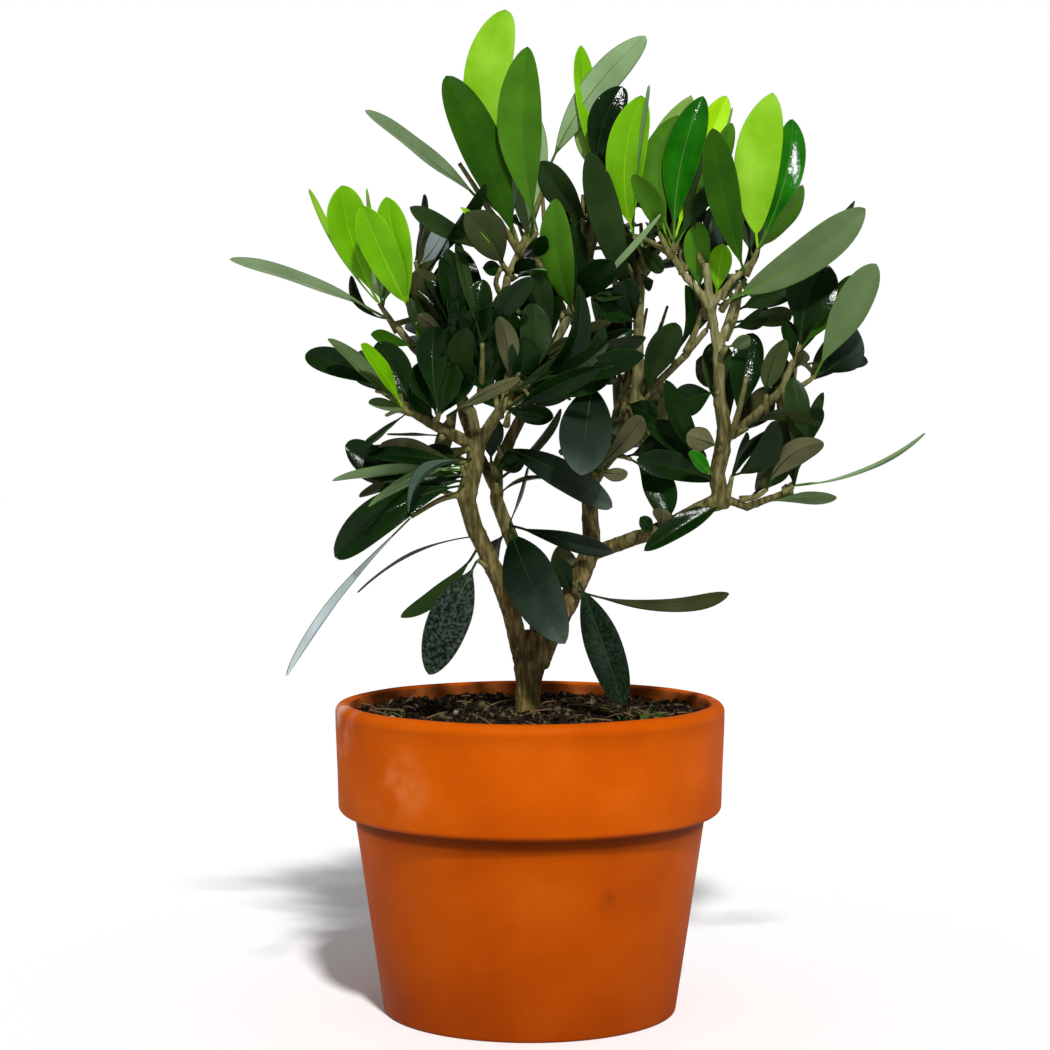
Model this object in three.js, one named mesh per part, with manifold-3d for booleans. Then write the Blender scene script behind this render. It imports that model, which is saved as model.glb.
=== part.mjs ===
// A young olive tree in a terracotta pot, in millimetres, +Z up.
// The origin is on the pot's axis, at the flat underside that it stands on. -Y is the tree's front.
import * as THREE from "three";
import { mergeVertices } from "three/addons/utils/BufferGeometryUtils.js";
import Module from "manifold-3d";

const wasm = await Module();
wasm.setup();

// ---- Driving dimensions ----
const GAP = 0.3; // clearance between pieces that touch

const POT = {
  height: 119,
  rimRadius: 75,
  footRadius: 56,
  wall: 6,
  floor: 8,
  collarHeight: 41.5,
  collarStep: 5.5,
  sides: 32,
};
const DRAIN = { holes: 3, radius: 4.5, ring: 26, sides: 12 };
const SOIL = { level: 114.5, pad: 13, ripple: 0.8, fall: 0.03, rings: 3, sides: 28 };
const LIMB_STEP = 13; // the length of a limb between two of its rings
const SPRAY = { width: 18, depth: 12 }; // the thickest part of a lobe that holds one spray of leaves

// ---- Colours and finishes ----
const material = (color, roughness) => new THREE.MeshStandardMaterial({ color, roughness, metalness: 0 });
const terracotta = material(0xc65a12, 0.5);
const compost = material(0x2a1d14, 0.95);
const bark = material(0x8a7350, 0.8);
const darkLeaves = material(0x17351a, 0.45);
const youngLeaves = material(0x6fae1c, 0.45);

// ---- Solids and their joins ----
// A closed three.js geometry as a manifold-3d solid.
function solidOf(geometry) {
  const bare = geometry.clone();
  bare.deleteAttribute("normal");
  bare.deleteAttribute("uv");
  const merged = mergeVertices(bare, 1e-4);
  return new wasm.Manifold(
    new wasm.Mesh({
      numProp: 3,
      vertProperties: new Float32Array(merged.attributes.position.array),
      triVerts: new Uint32Array(merged.index.array),
    }),
  );
}

function geometryOf(solid) {
  const mesh = solid.getMesh();
  const geometry = new THREE.BufferGeometry();
  geometry.setAttribute("position", new THREE.BufferAttribute(mesh.vertProperties, 3));
  geometry.setIndex(new THREE.BufferAttribute(mesh.triVerts, 1));
  geometry.computeVertexNormals();
  return geometry;
}

// The biggest of the separate bodies that a cut leaves.
function largestOf(solid) {
  return solid.decompose().reduce((best, body) => (body.volume() > best.volume() ? body : best));
}

const tree = new THREE.Group();

function addPiece(name, solid, finish) {
  const mesh = new THREE.Mesh(geometryOf(solid), finish);
  mesh.name = name;
  tree.add(mesh);
}

// ---- The pot: a tapered wall under a wide collar ----
function wallRadius(z) {
  const underCollar = POT.rimRadius - POT.collarStep - 2;
  return THREE.MathUtils.mapLinear(z, 0, POT.height - POT.collarHeight, POT.footRadius, underCollar);
}

function potSolid() {
  const { height, rimRadius, wall, floor, collarHeight } = POT;
  const collarFoot = height - collarHeight;
  const collarRadius = rimRadius - 1.5;
  const lipRadius = rimRadius - 2.6;
  const profile = [
    [0, floor],
    [0, 0],
    [POT.footRadius - 1.6, 0],
    [POT.footRadius + 0.2, 1.8],
    [wallRadius(collarFoot - 2), collarFoot - 2],
    [wallRadius(collarFoot) + 1, collarFoot],
    [collarRadius - 2, collarFoot + 1.4],
    [collarRadius - 0.2, collarFoot + 4.5],
    [rimRadius, height - 6],
    [rimRadius - 0.7, height - 2.2],
    [lipRadius, height],
    [lipRadius - 1.6, height - 0.2],
    [rimRadius - wall, height - 2.6],
    [rimRadius - wall - 0.6, collarFoot + 4],
    [wallRadius(collarFoot) - wall, collarFoot - 4],
    [wallRadius(floor) - wall, floor + 3],
    [wallRadius(floor) - wall - 3, floor],
  ].map(([r, z]) => new THREE.Vector2(r, z));
  const lathe = new THREE.LatheGeometry([...profile, profile[0]], POT.sides);
  lathe.rotateX(Math.PI / 2);
  let pot = solidOf(lathe);
  for (let i = 0; i < DRAIN.holes; i++) {
    const angle = (2 * Math.PI * (i + 0.25)) / DRAIN.holes;
    const hole = new THREE.CylinderGeometry(DRAIN.radius, DRAIN.radius, 4 * floor, DRAIN.sides);
    hole.rotateX(Math.PI / 2);
    hole.translate(DRAIN.ring * Math.cos(angle), DRAIN.ring * Math.sin(angle), 0);
    pot = pot.subtract(solidOf(hole));
  }
  return pot;
}

// ---- The soil: fills the pot, uneven on top but for the pad that the trunk stands on ----
function soilHeight(x, y) {
  const away = THREE.MathUtils.smoothstep(Math.hypot(x, y), SOIL.pad, 2.5 * SOIL.pad);
  const ripple = SOIL.ripple * (Math.sin(0.11 * x + 1.1) + Math.sin(0.13 * y - 0.07 * x));
  return SOIL.level - GAP + away * (ripple - SOIL.fall * (x - y) - 0.6);
}

function soilSolid() {
  const innerRadius = (z) => wallRadius(z) - POT.wall - GAP;
  const rimInner = POT.rimRadius - POT.wall - 0.6 - GAP;
  const collarFoot = POT.height - POT.collarHeight;
  const profile = [
    [0, POT.floor + GAP],
    [innerRadius(POT.floor) - 3.4, POT.floor + GAP],
    [innerRadius(POT.floor) - 0.4, POT.floor + 3.4],
    [innerRadius(collarFoot) - 0.4, collarFoot - 4],
    [rimInner - 0.4, collarFoot + 5],
    [rimInner - 0.4, SOIL.level - 4],
  ];
  for (let ring = 0; ring <= SOIL.rings; ring++) {
    const share = ring / SOIL.rings;
    profile.push([THREE.MathUtils.lerp(rimInner - 0.4, SOIL.pad, share), SOIL.level]);
  }
  profile.push([0, SOIL.level]);
  const lathe = new THREE.LatheGeometry(profile.map(([r, z]) => new THREE.Vector2(r, z)), SOIL.sides);
  lathe.rotateX(Math.PI / 2);
  const place = lathe.attributes.position;
  for (let i = 0; i < place.count; i++) {
    if (place.getZ(i) < SOIL.level - 0.01) continue;
    place.setZ(i, soilHeight(place.getX(i), place.getY(i)));
  }
  return solidOf(lathe);
}

// ---- Limbs: tapering tubes along a smooth path ----
// path: points along the middle; foot and tip: radii; swell: [share of the way, extra radius, reach].
function limbSolid({ path, foot, tip, swell = [], sides = 6 }, extra = 0) {
  const curve = new THREE.CatmullRomCurve3(path.map((p) => new THREE.Vector3(...p)), false, "centripetal");
  const steps = Math.max(3, Math.round(curve.getLength() / LIMB_STEP) + swell.length);
  const frames = curve.computeFrenetFrames(steps);
  const tube = new THREE.CylinderGeometry(1, 1, 1, sides, steps);
  const place = tube.attributes.position;
  for (let i = 0; i < place.count; i++) {
    const share = place.getY(i) + 0.5;
    const row = Math.round(share * steps);
    let radius = THREE.MathUtils.lerp(foot, tip, share) + extra;
    for (const [at, more, reach] of swell) radius += more * Math.exp(-(((share - at) / reach) ** 2));
    const point = curve
      .getPointAt(share)
      .addScaledVector(frames.normals[row], radius * place.getX(i))
      .addScaledVector(frames.binormals[row], -radius * place.getZ(i));
    if (row === 0) point.addScaledVector(frames.tangents[0], -extra);
    if (row === steps) point.addScaledVector(frames.tangents[steps], extra);
    place.setXYZ(i, point.x, point.y, point.z);
  }
  return solidOf(tube);
}

const GROUND = SOIL.level;
const LIMBS = {
  trunk: {
    path: [[-0.8, 0, GROUND - 4], [-0.8, 0, 122], [0, 0, 134], [1.6, 0.5, 146]],
    foot: 4.9, tip: 3.2, swell: [[0.1, 0.5, 0.08], [0.68, 2.3, 0.2]], sides: 10,
  },
  bough_left: {
    path: [[-1.5, -1, 131], [-4.8, -3, 143], [-7.6, -5, 155], [-12.3, -7, 167], [-18.5, -9, 181],
      [-24.5, -10, 195], [-22, -10, 206], [-19.5, -9, 221]],
    foot: 3.6, tip: 2.8, swell: [[0.8, 0.9, 0.12]], sides: 8,
  },
  stem_right: {
    path: [[3, 0, 133], [8, -1, 145], [14, 0, 156], [20, 1, 168], [24, 1, 179]],
    foot: 4.2, tip: 3.8, sides: 8,
  },
  bough_second: {
    path: [[3, 3, 136], [3, 8, 150], [-1, 9, 166], [-7, 8, 181], [-12, 7, 193], [-14, 7, 203],
      [-11, 8, 213], [-6, 9, 223], [0, 10, 235], [6, 10, 250], [14, 10, 265], [22, 10, 290]],
    foot: 3.3, tip: 1.3, sides: 8,
  },
  bough_middle: {
    path: [[24, 1, 176], [23.5, 3, 187], [22.5, 6, 198], [27, 9, 212], [36, 11, 224], [41.5, 11, 236],
      [42, 10, 250], [42, 9, 265], [43.5, 9, 285]],
    foot: 3.4, tip: 1.5, sides: 8,
  },
  bough_right: {
    path: [[23, 1, 175.5], [34, -1, 179.5], [45, -3, 183.5], [56, -4, 188.5], [67, -5, 194.5],
      [75, -5, 197]],
    foot: 2.8, tip: 2.4, swell: [[0.97, 1.4, 0.1]], sides: 8,
  },
  bough_right_upright: {
    path: [[73, -5, 197], [71.5, -4, 206], [73, -3, 214], [75.5, -2, 221], [73, -2, 230],
      [72.5, -1, 242], [72, -1, 255]],
    foot: 3.3, tip: 1.9, swell: [[0.4, 0.6, 0.1]],
  },
  bough_right_leader: {
    path: [[72, -1, 253], [70.5, -1, 262], [69, -2, 272], [67, -3, 287]],
    foot: 1.8, tip: 1.4,
  },
  bough_right_side: {
    path: [[77, -2, 221], [83, -3, 226], [88, -4, 230.5], [93, -5, 235], [98, -4, 242], [101, -3, 250]],
    foot: 1.9, tip: 1.2,
  },
  bough_right_inner: {
    path: [[69, -2, 270], [64, -1, 277], [58, -1, 284], [54, -2, 291]],
    foot: 1.5, tip: 1.2,
  },
  bough_right_outer: {
    path: [[69, -2, 270], [75, -4, 278], [80, -6, 283], [84, -7, 287]],
    foot: 1.4, tip: 1.1,
  },
  bough_right_back: {
    path: [[72, -1, 253], [75.8, 1, 264], [79, 4, 273.5], [82, 7, 281]],
    foot: 1.6, tip: 1.2,
  },
  bough_right_low: {
    path: [[75, -5, 197], [82, -8, 194], [90, -10, 197], [99, -12, 200]],
    foot: 1.7, tip: 1.1,
  },
  bough_cross: {
    path: [[41, 11, 232], [50, 9, 242], [58, 7, 250], [65.5, 4, 258], [68, 3, 262]],
    foot: 1.6, tip: 1.1,
  },
  bough_left_arm: {
    path: [[-20, -9, 216.5], [-27, -11, 220.5], [-34, -12, 224], [-40, -13, 227.5], [-45, -14, 230.5]],
    foot: 2.6, tip: 1.7,
  },
  bough_left_leader: {
    path: [[-20, -9, 218], [-22, -8, 229], [-28, -4, 239], [-36, 0, 247], [-44, 3, 254], [-52, 4, 264]],
    foot: 2.2, tip: 1.3,
  },
  bough_left_inner: {
    path: [[-19, -9, 219], [-14, -11, 227], [-9, -13, 234], [-7, -18, 242]],
    foot: 2.5, tip: 1.5,
  },
  bough_top: {
    path: [[0, 10, 236], [-6, 8, 252], [-11, 4, 268], [-9, 2, 280], [-4, 2, 292]],
    foot: 2.1, tip: 1.4,
  },
  bough_back_left: {
    path: [[-14, 7, 202], [-19, 18, 212], [-26, 32, 226], [-29, 42, 240]],
    foot: 2.2, tip: 1.4,
  },
  bough_back_right: {
    path: [[23, 5, 195], [25, 18, 206], [31, 32, 219], [36, 42, 234]],
    foot: 2.4, tip: 1.4,
  },
  bough_back_top: {
    path: [[13, 10, 263], [13, 18, 270], [10, 28, 278], [8, 36, 288]],
    foot: 1.6, tip: 1.2,
  },
};

function trimmedTrunk(limb) {
  const below = new THREE.BoxGeometry(100, 100, 40);
  below.translate(0, 0, GROUND - 20);
  return limb.subtract(solidOf(below));
}

// Each limb is cut back to the surface of those before it, which it grows from.
const limbSolids = [];
const limbSpaces = [];
for (const [name, shape] of Object.entries(LIMBS)) {
  let solid = limbSolid(shape);
  for (const space of limbSpaces) solid = solid.subtract(space);
  if (name === "trunk") solid = trimmedTrunk(solid);
  limbSolids.push([name, largestOf(solid)]);
  limbSpaces.push(limbSolid(shape, GAP));
}

// ---- Masses of foliage: a body about the twigs, and a pointed lobe out to each outer spray ----
// A round or pointed ball, stretched so that its long axis runs between two points.
function stretched(ball, from, to, width, depth) {
  const start = new THREE.Vector3(...from);
  const end = new THREE.Vector3(...to);
  const along = end.clone().sub(start);
  ball.scale(width / 2, along.length() / 2, depth / 2);
  along.normalize();
  const sideways = new THREE.Vector3(0, 1, 0).cross(along).normalize();
  const facing = new THREE.Vector3().crossVectors(sideways, along);
  const middle = start.add(end).multiplyScalar(0.5);
  ball.applyMatrix4(new THREE.Matrix4().makeBasis(sideways, along, facing).setPosition(middle));
  return solidOf(ball);
}

// root: where the bough enters; body: the far end of the middle and its thickness;
// reach: the tips of the outer sprays.
function massSolid({ root, body: [end, thickness], reach }, extra = 0) {
  const grow = 2 * extra;
  const middle = new THREE.IcosahedronGeometry(1);
  let mass = stretched(middle, root, end, thickness + grow, thickness + grow);
  const start = new THREE.Vector3(...root).lerp(new THREE.Vector3(...end), 0.3);
  for (const tip of reach) {
    const out = new THREE.Vector3(...tip);
    out.addScaledVector(out.clone().sub(start).normalize(), grow);
    const spray = new THREE.SphereGeometry(1, 5, 3);
    mass = mass.add(stretched(spray, start, out, SPRAY.width + grow, SPRAY.depth + grow));
  }
  return mass;
}

const MASSES = {
  foliage_top_left: {
    root: [-4, 2, 288], body: [[-8, 0, 332], 24], young: true,
    reach: [[-13, 6, 384], [-33, -8, 359], [0, -12, 370], [-62, 2, 346], [-41, -12, 315], [-24, -28, 312],
      [-8, 32, 348]],
  },
  foliage_top_centre: {
    root: [22, 10, 286], body: [[27, 6, 332], 22],
    reach: [[20, 12, 371], [45, 10, 374], [38, -12, 355], [6, 0, 328], [44, 34, 338], [16, 40, 334]],
  },
  foliage_crest: {
    root: [54, -2, 287], body: [[62, -6, 322], 22],
    reach: [[67, -12, 352], [56, 2, 351], [76, -4, 352], [48, -28, 330], [38, -10, 321], [74, 22, 338]],
  },
  foliage_top_right: {
    root: [84, -7, 283], body: [[94, -8, 314], 20], young: true,
    reach: [[93, -4, 353], [101, -14, 343], [106, -26, 318], [129, -10, 309], [112, 18, 324], [84, 14, 334]],
  },
  foliage_upper_left: {
    root: [-50, 4, 261], body: [[-66, 0, 294], 20], young: true,
    reach: [[-72, -6, 317], [-55, -10, 313], [-85, 6, 316], [-115, 0, 290], [-64, -30, 290], [-64, 30, 300]],
  },
  foliage_core_left: {
    root: [-28, -4, 239], body: [[-30, -6, 274], 22],
    reach: [[-45, -4, 284], [-28, 4, 294], [-40, -26, 262], [-12, -18, 270], [-26, -34, 284]],
  },
  foliage_left: {
    root: [-42, -14, 230], body: [[-64, -12, 243], 18],
    reach: [[-87, -10, 254], [-77, -20, 258], [-58, -34, 256], [-63, -28, 219], [-80, 12, 238]],
  },
  foliage_left_shelf: {
    root: [-23, -10, 207], body: [[-50, -16, 212], 15],
    reach: [[-72, -16, 216], [-76, -26, 204], [-56, -44, 196], [-62, 6, 212]],
  },
  foliage_left_droop: {
    root: [-23, -10, 198], body: [[-50, -20, 190], 13],
    reach: [[-77, -20, 178], [-94, -26, 129], [-46, -40, 186]],
  },
  foliage_low_left: {
    root: [-15, -8, 174], body: [[-34, -14, 166], 13],
    reach: [[-67, -16, 160], [-50, -4, 150], [-39, -26, 128]],
  },
  foliage_low_centre: {
    root: [-8, 8, 186], body: [[6, 0, 166], 14],
    reach: [[14, -12, 140], [33, -10, 176], [-4, 30, 158]],
  },
  foliage_low_right: {
    root: [18, -2, 164], body: [[27, -14, 148], 13],
    reach: [[37, -20, 116], [77, -10, 157], [10, -26, 158]],
  },
  foliage_centre: {
    root: [-7, -16, 238], body: [[20, -16, 247], 24],
    reach: [[46, -16, 254], [44, -34, 262], [22, -46, 236], [-12, -34, 262], [12, -32, 226]],
  },
  foliage_centre_low: {
    root: [24, 7, 206], body: [[8, -8, 208], 18],
    reach: [[33, -20, 192], [-12, -18, 219], [44, -14, 230], [14, -36, 196]],
  },
  foliage_centre_right: {
    root: [42, 10, 226], body: [[60, 2, 228], 20],
    reach: [[41, -6, 210], [53, -10, 190], [53, -12, 246], [68, -10, 204], [74, 14, 252], [56, -34, 226]],
  },
  foliage_inner_top: {
    root: [42, 9, 268], body: [[34, 6, 300], 20],
    reach: [[23, 2, 328], [52, -8, 306], [28, -14, 284], [38, -36, 290]],
  },
  foliage_right: {
    root: [100, -3, 247], body: [[116, -4, 264], 20],
    reach: [[113, -10, 287], [133, -8, 288], [128, -16, 261], [112, -26, 238], [124, 20, 280], [134, 12, 252]],
  },
  foliage_right_inner: {
    root: [81, 6, 277], body: [[86, 20, 266], 20],
    reach: [[99, 20, 280], [92, -8, 254], [72, 26, 292], [90, 48, 284], [98, 40, 256]],
  },
  foliage_right_low: {
    root: [95, -11, 199], body: [[110, -14, 214], 18],
    reach: [[152, -18, 222], [120, -24, 198], [90, -28, 223], [100, -10, 242], [114, -36, 228], [128, 12, 228]],
  },
  foliage_back_left: {
    root: [-28, 40, 236], body: [[-34, 62, 264], 32],
    reach: [[-52, 86, 290], [-20, 80, 300], [-62, 72, 246], [-30, 104, 258], [-38, 66, 208]],
  },
  foliage_back_right: {
    root: [35, 40, 230], body: [[46, 62, 254], 32],
    reach: [[62, 84, 286], [36, 84, 296], [86, 72, 250], [46, 106, 254], [54, 68, 204]],
  },
  foliage_back_top: {
    root: [8, 34, 284], body: [[6, 48, 306], 26],
    reach: [[8, 60, 344], [-24, 58, 322], [34, 62, 326], [6, 84, 306]],
  },
};

for (const [name, solid] of limbSolids) addPiece(name, solid, bark);

const massSpaces = [];
for (const [name, shape] of Object.entries(MASSES)) {
  let solid = massSolid(shape);
  for (const space of [...limbSpaces, ...massSpaces]) solid = solid.subtract(space);
  addPiece(name, largestOf(solid), shape.young ? youngLeaves : darkLeaves);
  massSpaces.push(massSolid(shape, GAP));
}

addPiece("pot", potSolid(), terracotta);
addPiece("soil", soilSolid(), compost);

export default tree;
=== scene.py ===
# The looks of a young olive tree in a terracotta pot.
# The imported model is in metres, with +Z up and -Y its front. Numbers here are in millimetres, angles in
# degrees, unless a name or a comment says otherwise.
import math
import random

import bpy
from mathutils import Matrix, Vector, noise
from mathutils.bvhtree import BVHTree


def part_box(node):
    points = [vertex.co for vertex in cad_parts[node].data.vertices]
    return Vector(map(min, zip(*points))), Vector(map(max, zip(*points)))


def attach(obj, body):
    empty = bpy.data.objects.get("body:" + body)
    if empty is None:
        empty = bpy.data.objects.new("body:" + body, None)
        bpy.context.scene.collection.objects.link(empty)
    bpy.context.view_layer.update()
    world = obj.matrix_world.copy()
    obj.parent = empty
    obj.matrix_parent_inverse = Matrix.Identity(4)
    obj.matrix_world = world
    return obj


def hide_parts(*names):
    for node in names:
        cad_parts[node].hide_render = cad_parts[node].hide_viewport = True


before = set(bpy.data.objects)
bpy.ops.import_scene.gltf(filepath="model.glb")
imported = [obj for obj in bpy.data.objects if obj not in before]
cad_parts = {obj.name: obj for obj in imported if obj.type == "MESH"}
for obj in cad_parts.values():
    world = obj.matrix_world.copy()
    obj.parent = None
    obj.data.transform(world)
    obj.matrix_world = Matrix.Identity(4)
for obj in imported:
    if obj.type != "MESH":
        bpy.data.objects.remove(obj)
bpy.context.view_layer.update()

MM = 0.001
UP = Vector((0, 0, 1))
FORWARD = Vector((0, -1, 0))  # towards the camera
FULL_TURN = 2 * math.pi

EYE = Vector((-1.9, -920, 227))  # where the camera stands
TILT = math.radians(2.5)  # how far it looks down
LENS_MM = 82.05
SENSOR_MM = 36

FOLIAGE = [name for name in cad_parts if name.startswith("foliage")]
LIMBS = [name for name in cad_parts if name.startswith(("trunk", "stem", "bough"))]


def node(name):
    """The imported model's object of a node's name."""
    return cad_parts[name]


def box(name):
    """The lowest and the highest corner of a node."""
    return [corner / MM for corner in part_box(name)]


def as_seen(spot):
    """Where the camera sees a point on the pot's middle plane, as x and z."""
    reach = (spot.y - EYE.y) / -EYE.y
    return EYE.x + (spot.x - EYE.x) / reach, EYE.z + (spot.z - EYE.z) / reach


def seen(x, y, z):
    """The point at depth y that the camera sees at (x, z) on the pot's middle plane."""
    reach = (y - EYE.y) / -EYE.y
    return Vector((EYE.x + (x - EYE.x) * reach, y, EYE.z + (z - EYE.z) * reach))


def mix(a, b, share):
    return a + (b - a) * share


def add_object(name, data):
    made = bpy.data.objects.new(name, data)
    bpy.context.collection.objects.link(made)
    return made


# ---- Meshes ----
class Soup:
    """Faces gathered from many small shapes into one piece, each with the name of its finish."""

    def __init__(self):
        self.points, self.faces, self.looks = [], [], []

    def add(self, points, faces, looks):
        first = len(self.points)
        self.points += [p * MM for p in points]
        self.faces += [tuple(first + i for i in face) for face in faces]
        self.looks += looks if isinstance(looks, list) else [looks] * len(faces)

    def piece(self, name, slot, nodes=()):
        mesh = bpy.data.meshes.new(name)
        mesh.from_pydata(self.points, [], self.faces)
        used = sorted(set(self.looks))
        places = {look: place for place, look in enumerate(used)}
        mesh.polygons.foreach_set("material_index", [places[look] for look in self.looks])
        mesh.polygons.foreach_set("use_smooth", [True] * len(self.faces))
        mesh.validate()
        made = add_object(name, mesh)
        for look in used:
            mesh.materials.append(FINISHES[look])
        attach(made, "root")
        if nodes:
            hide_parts(*nodes)
        return made


def rings_to_faces(rings, around, closed=True):
    """Quads between rings of points laid one after another, and one face over each end."""
    faces = []
    for ring in range(rings - 1):
        for i in range(around):
            j = (i + 1) % around
            low, high = ring * around, (ring + 1) * around
            faces.append((low + i, low + j, high + j, high + i))
    if closed:
        faces.append(tuple(reversed(range(around))))
        faces.append(tuple(range((rings - 1) * around, rings * around)))
    return faces


def smooth_path(points, step):
    """Points about a step apart along a smooth curve through the given ones."""
    ends = [2 * points[0] - points[1], *points, 2 * points[-1] - points[-2]]
    path = []
    for i in range(1, len(ends) - 2):
        before, start, end, after = ends[i - 1 : i + 3]
        count = max(2, round((end - start).length / step))
        for k in range(count):
            t = k / count
            square = (2 * before - 5 * start + 4 * end - after) * t * t
            cube = (3 * start - before - 3 * end + after) * t * t * t
            path.append(0.5 * (2 * start + (end - before) * t + square + cube))
    return [*path, points[-1]]


def tube(soup, path, radii, around, look="twig"):
    """A closed tube along a path, from one radius to another."""
    points = []
    side = Vector((0, 1, 0.3)).cross(path[1] - path[0]).normalized()
    for i, centre in enumerate(path):
        along = (path[min(i + 1, len(path) - 1)] - path[max(i - 1, 0)]).normalized()
        side = (side - along * side.dot(along)).normalized()
        up = along.cross(side)
        reach = mix(*radii, i / (len(path) - 1))
        for k in range(around):
            turn = FULL_TURN * k / around
            points.append(centre + (side * math.cos(turn) + up * math.sin(turn)) * reach)
    soup.add(points, rings_to_faces(len(path), around), look)


# ---- Leaves ----
ROWS = 24  # of faces along a leaf
LONGEST_PETIOLE = 5.5
PETIOLE_RADIUS = 0.5
END_RADIUS = 0.14  # of a leaf's very first and last row
THICKNESS = 0.4
RIB_WIDTH = 0.6
MARGIN_WIDTH = 0.28
GROOVE = 0.3  # how deep the midrib lies in the upper side
KEEL = 0.45  # how far it stands out below
RIPPLES = 11  # radians of the margin's waves in a leaf's length
DROOP = 0.07  # of the very margin, as a share of half the width
STALK_SHARE = 0.12  # of the full width: what is slimmer is stalk, and round
# What a leaf's shape is drawn from. bow lifts its middle to its upper side, and arc moves it to the right of
# its way, both as shares of its length. cup raises its margins, twist winds it (in radians), widest is where
# it is widest, from stalk to tip, and full is how slowly it widens.
SHAPE = {
    "bow": (0.02, 0.09), "cup": (0.05, 0.38), "arc": (-0.05, 0.05), "twist": (-0.4, 0.4),
    "widest": (0.56, 0.68), "full": (1.1, 1.35),
}  # fmt: skip


def blade_outline(share, widest, full, blunt):
    """Half the width at a share of the blade's length, out of 1: a wedge from the stalk, and a round end."""
    if share < widest:
        return math.sin(math.pi / 2 * share / widest) ** full
    return (1 - ((share - widest) / (1 - widest)) ** 2.3) ** blunt


def places_across(half, reach):
    """Places across a blade: its thin margins, its two sides, and its midrib, narrower to the tip."""
    rib = min(0.16, RIB_WIDTH / 2 * (1.15 - reach) / half)
    edge = 1 - min(0.3, MARGIN_WIDTH / half)
    return (-1, -edge, -0.6, -0.3, -rib, rib, 0.3, 0.6, edge, 1)


def leaf(soup, looks, base, tip, width, turn, rng, look=FORWARD, **given):
    """One closed leaf from its node to its tip, with its upper side turned so far from the look. looks are
    the finishes of its upper side from stalk to tip, of its underside, and of its midrib and margins."""
    uppers, under, rib = looks
    run = tip - base
    length = run.length
    along = run / length
    facing = look - along * look.dot(along)
    facing = (facing if facing.length > 0.05 else UP - along * along.z).normalized()
    facing = Matrix.Rotation(math.radians(turn), 3, along) @ facing
    side = along.cross(facing)
    aside = along.cross(look).normalized()
    shape = {name: rng.uniform(*span) for name, span in SHAPE.items()}
    shape["bow"] *= abs(math.cos(math.radians(turn)))
    bow, cup, arc, twist, widest, full = {**shape, **given}.values()
    petiole = min(LONGEST_PETIOLE, 0.1 * length)
    blunt = rng.uniform(0.5, 0.72)
    wave, phase = rng.uniform(0.01, 0.07), rng.uniform(0, 6.3)
    top, bottom = [], []
    for row in range(ROWS + 1):
        t = row / ROWS
        reach = mix(t, 0.5 - 0.5 * math.cos(math.pi * t), 0.7)
        rise = 4 * reach * (1 - reach)
        centre = base + along * reach * length + (facing * bow + aside * arc) * length * rise
        share = max(0.0, reach * length - petiole) / (length - petiole)
        half = max(PETIOLE_RADIUS, width / 2 * blade_outline(share, widest, full, blunt))
        end = row in (0, ROWS)
        if end:
            half = END_RADIUS
        lie = twist * (reach - 0.3)
        s = side * math.cos(lie) + facing * math.sin(lie)
        n = facing * math.cos(lie) - side * math.sin(lie)
        wide = half / (width / 2)
        for place in places_across(half, reach):
            ripple = math.sin(RIPPLES * reach + phase + (2 if place > 0 else 0))
            ripple = wave * half * ripple * place * place
            lift = cup * half * abs(place) ** 1.4 + ripple - DROOP * half * place**6
            groove = GROOVE * wide * math.exp(-((place / 0.14) ** 2))
            keel = KEEL * (1 - 0.6 * reach) * math.exp(-((place / 0.12) ** 2))
            thick = THICKNESS * (1 - 0.7 * place * place)
            if wide < STALK_SHARE:
                thick = PETIOLE_RADIUS * 1.6 * (1.05 - place * place)
            if end:
                thick, groove, keel = 0.1, 0, 0
            spot = centre + s * half * place + n * lift
            top.append(spot - n * groove)
            if abs(place) < 1:
                bottom.append(spot - n * (groove * 0.5 + thick + keel))
    many = len(top) // (ROWS + 1)

    def below(row, i):
        """A point of the underside, which shares its margins with the upper side."""
        if i in (0, many - 1):
            return row * many + i
        return len(top) + row * (many - 2) + i - 1

    faces, marks = [], []
    stem_rows = 1 + int(ROWS * math.acos(max(-1, 1 - 2 * petiole / length)) / math.pi)
    for row in range(ROWS):
        upper = uppers[len(uppers) * row // ROWS]
        for i in range(many - 1):
            pale = i in (0, many // 2 - 1, many - 2) or row < stem_rows
            low, high = row * many + i, (row + 1) * many + i
            faces.append((low, low + 1, high + 1, high))
            faces.append((below(row, i), below(row + 1, i), below(row + 1, i + 1), below(row, i + 1)))
            marks += [rib, rib] if pale else [upper, under]
    for row, turned in ((0, True), (ROWS, False)):
        rim = [row * many + i for i in range(many)] + [below(row, i) for i in range(many - 2, 0, -1)]
        faces.append(tuple(rim) if turned else tuple(reversed(rim)))
        marks.append(rib)
    soup.add(top + bottom, faces, marks)


# ---- The foliage: shoots that grow on from the boughs, with leaves at their nodes ----
# These leaves are nearly black at the stalk and turn grey to the tip row by row; the grey is a painted
# sheen.
SHEEN_STEPS = tuple(f"slate_{step}" for step in range(ROWS))
# The young leaves' light green is their own, brightened further to stand for light shining through them:
# painted backlight.
YOUNG_TINTS = ("bright", "lime", "neon")
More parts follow.
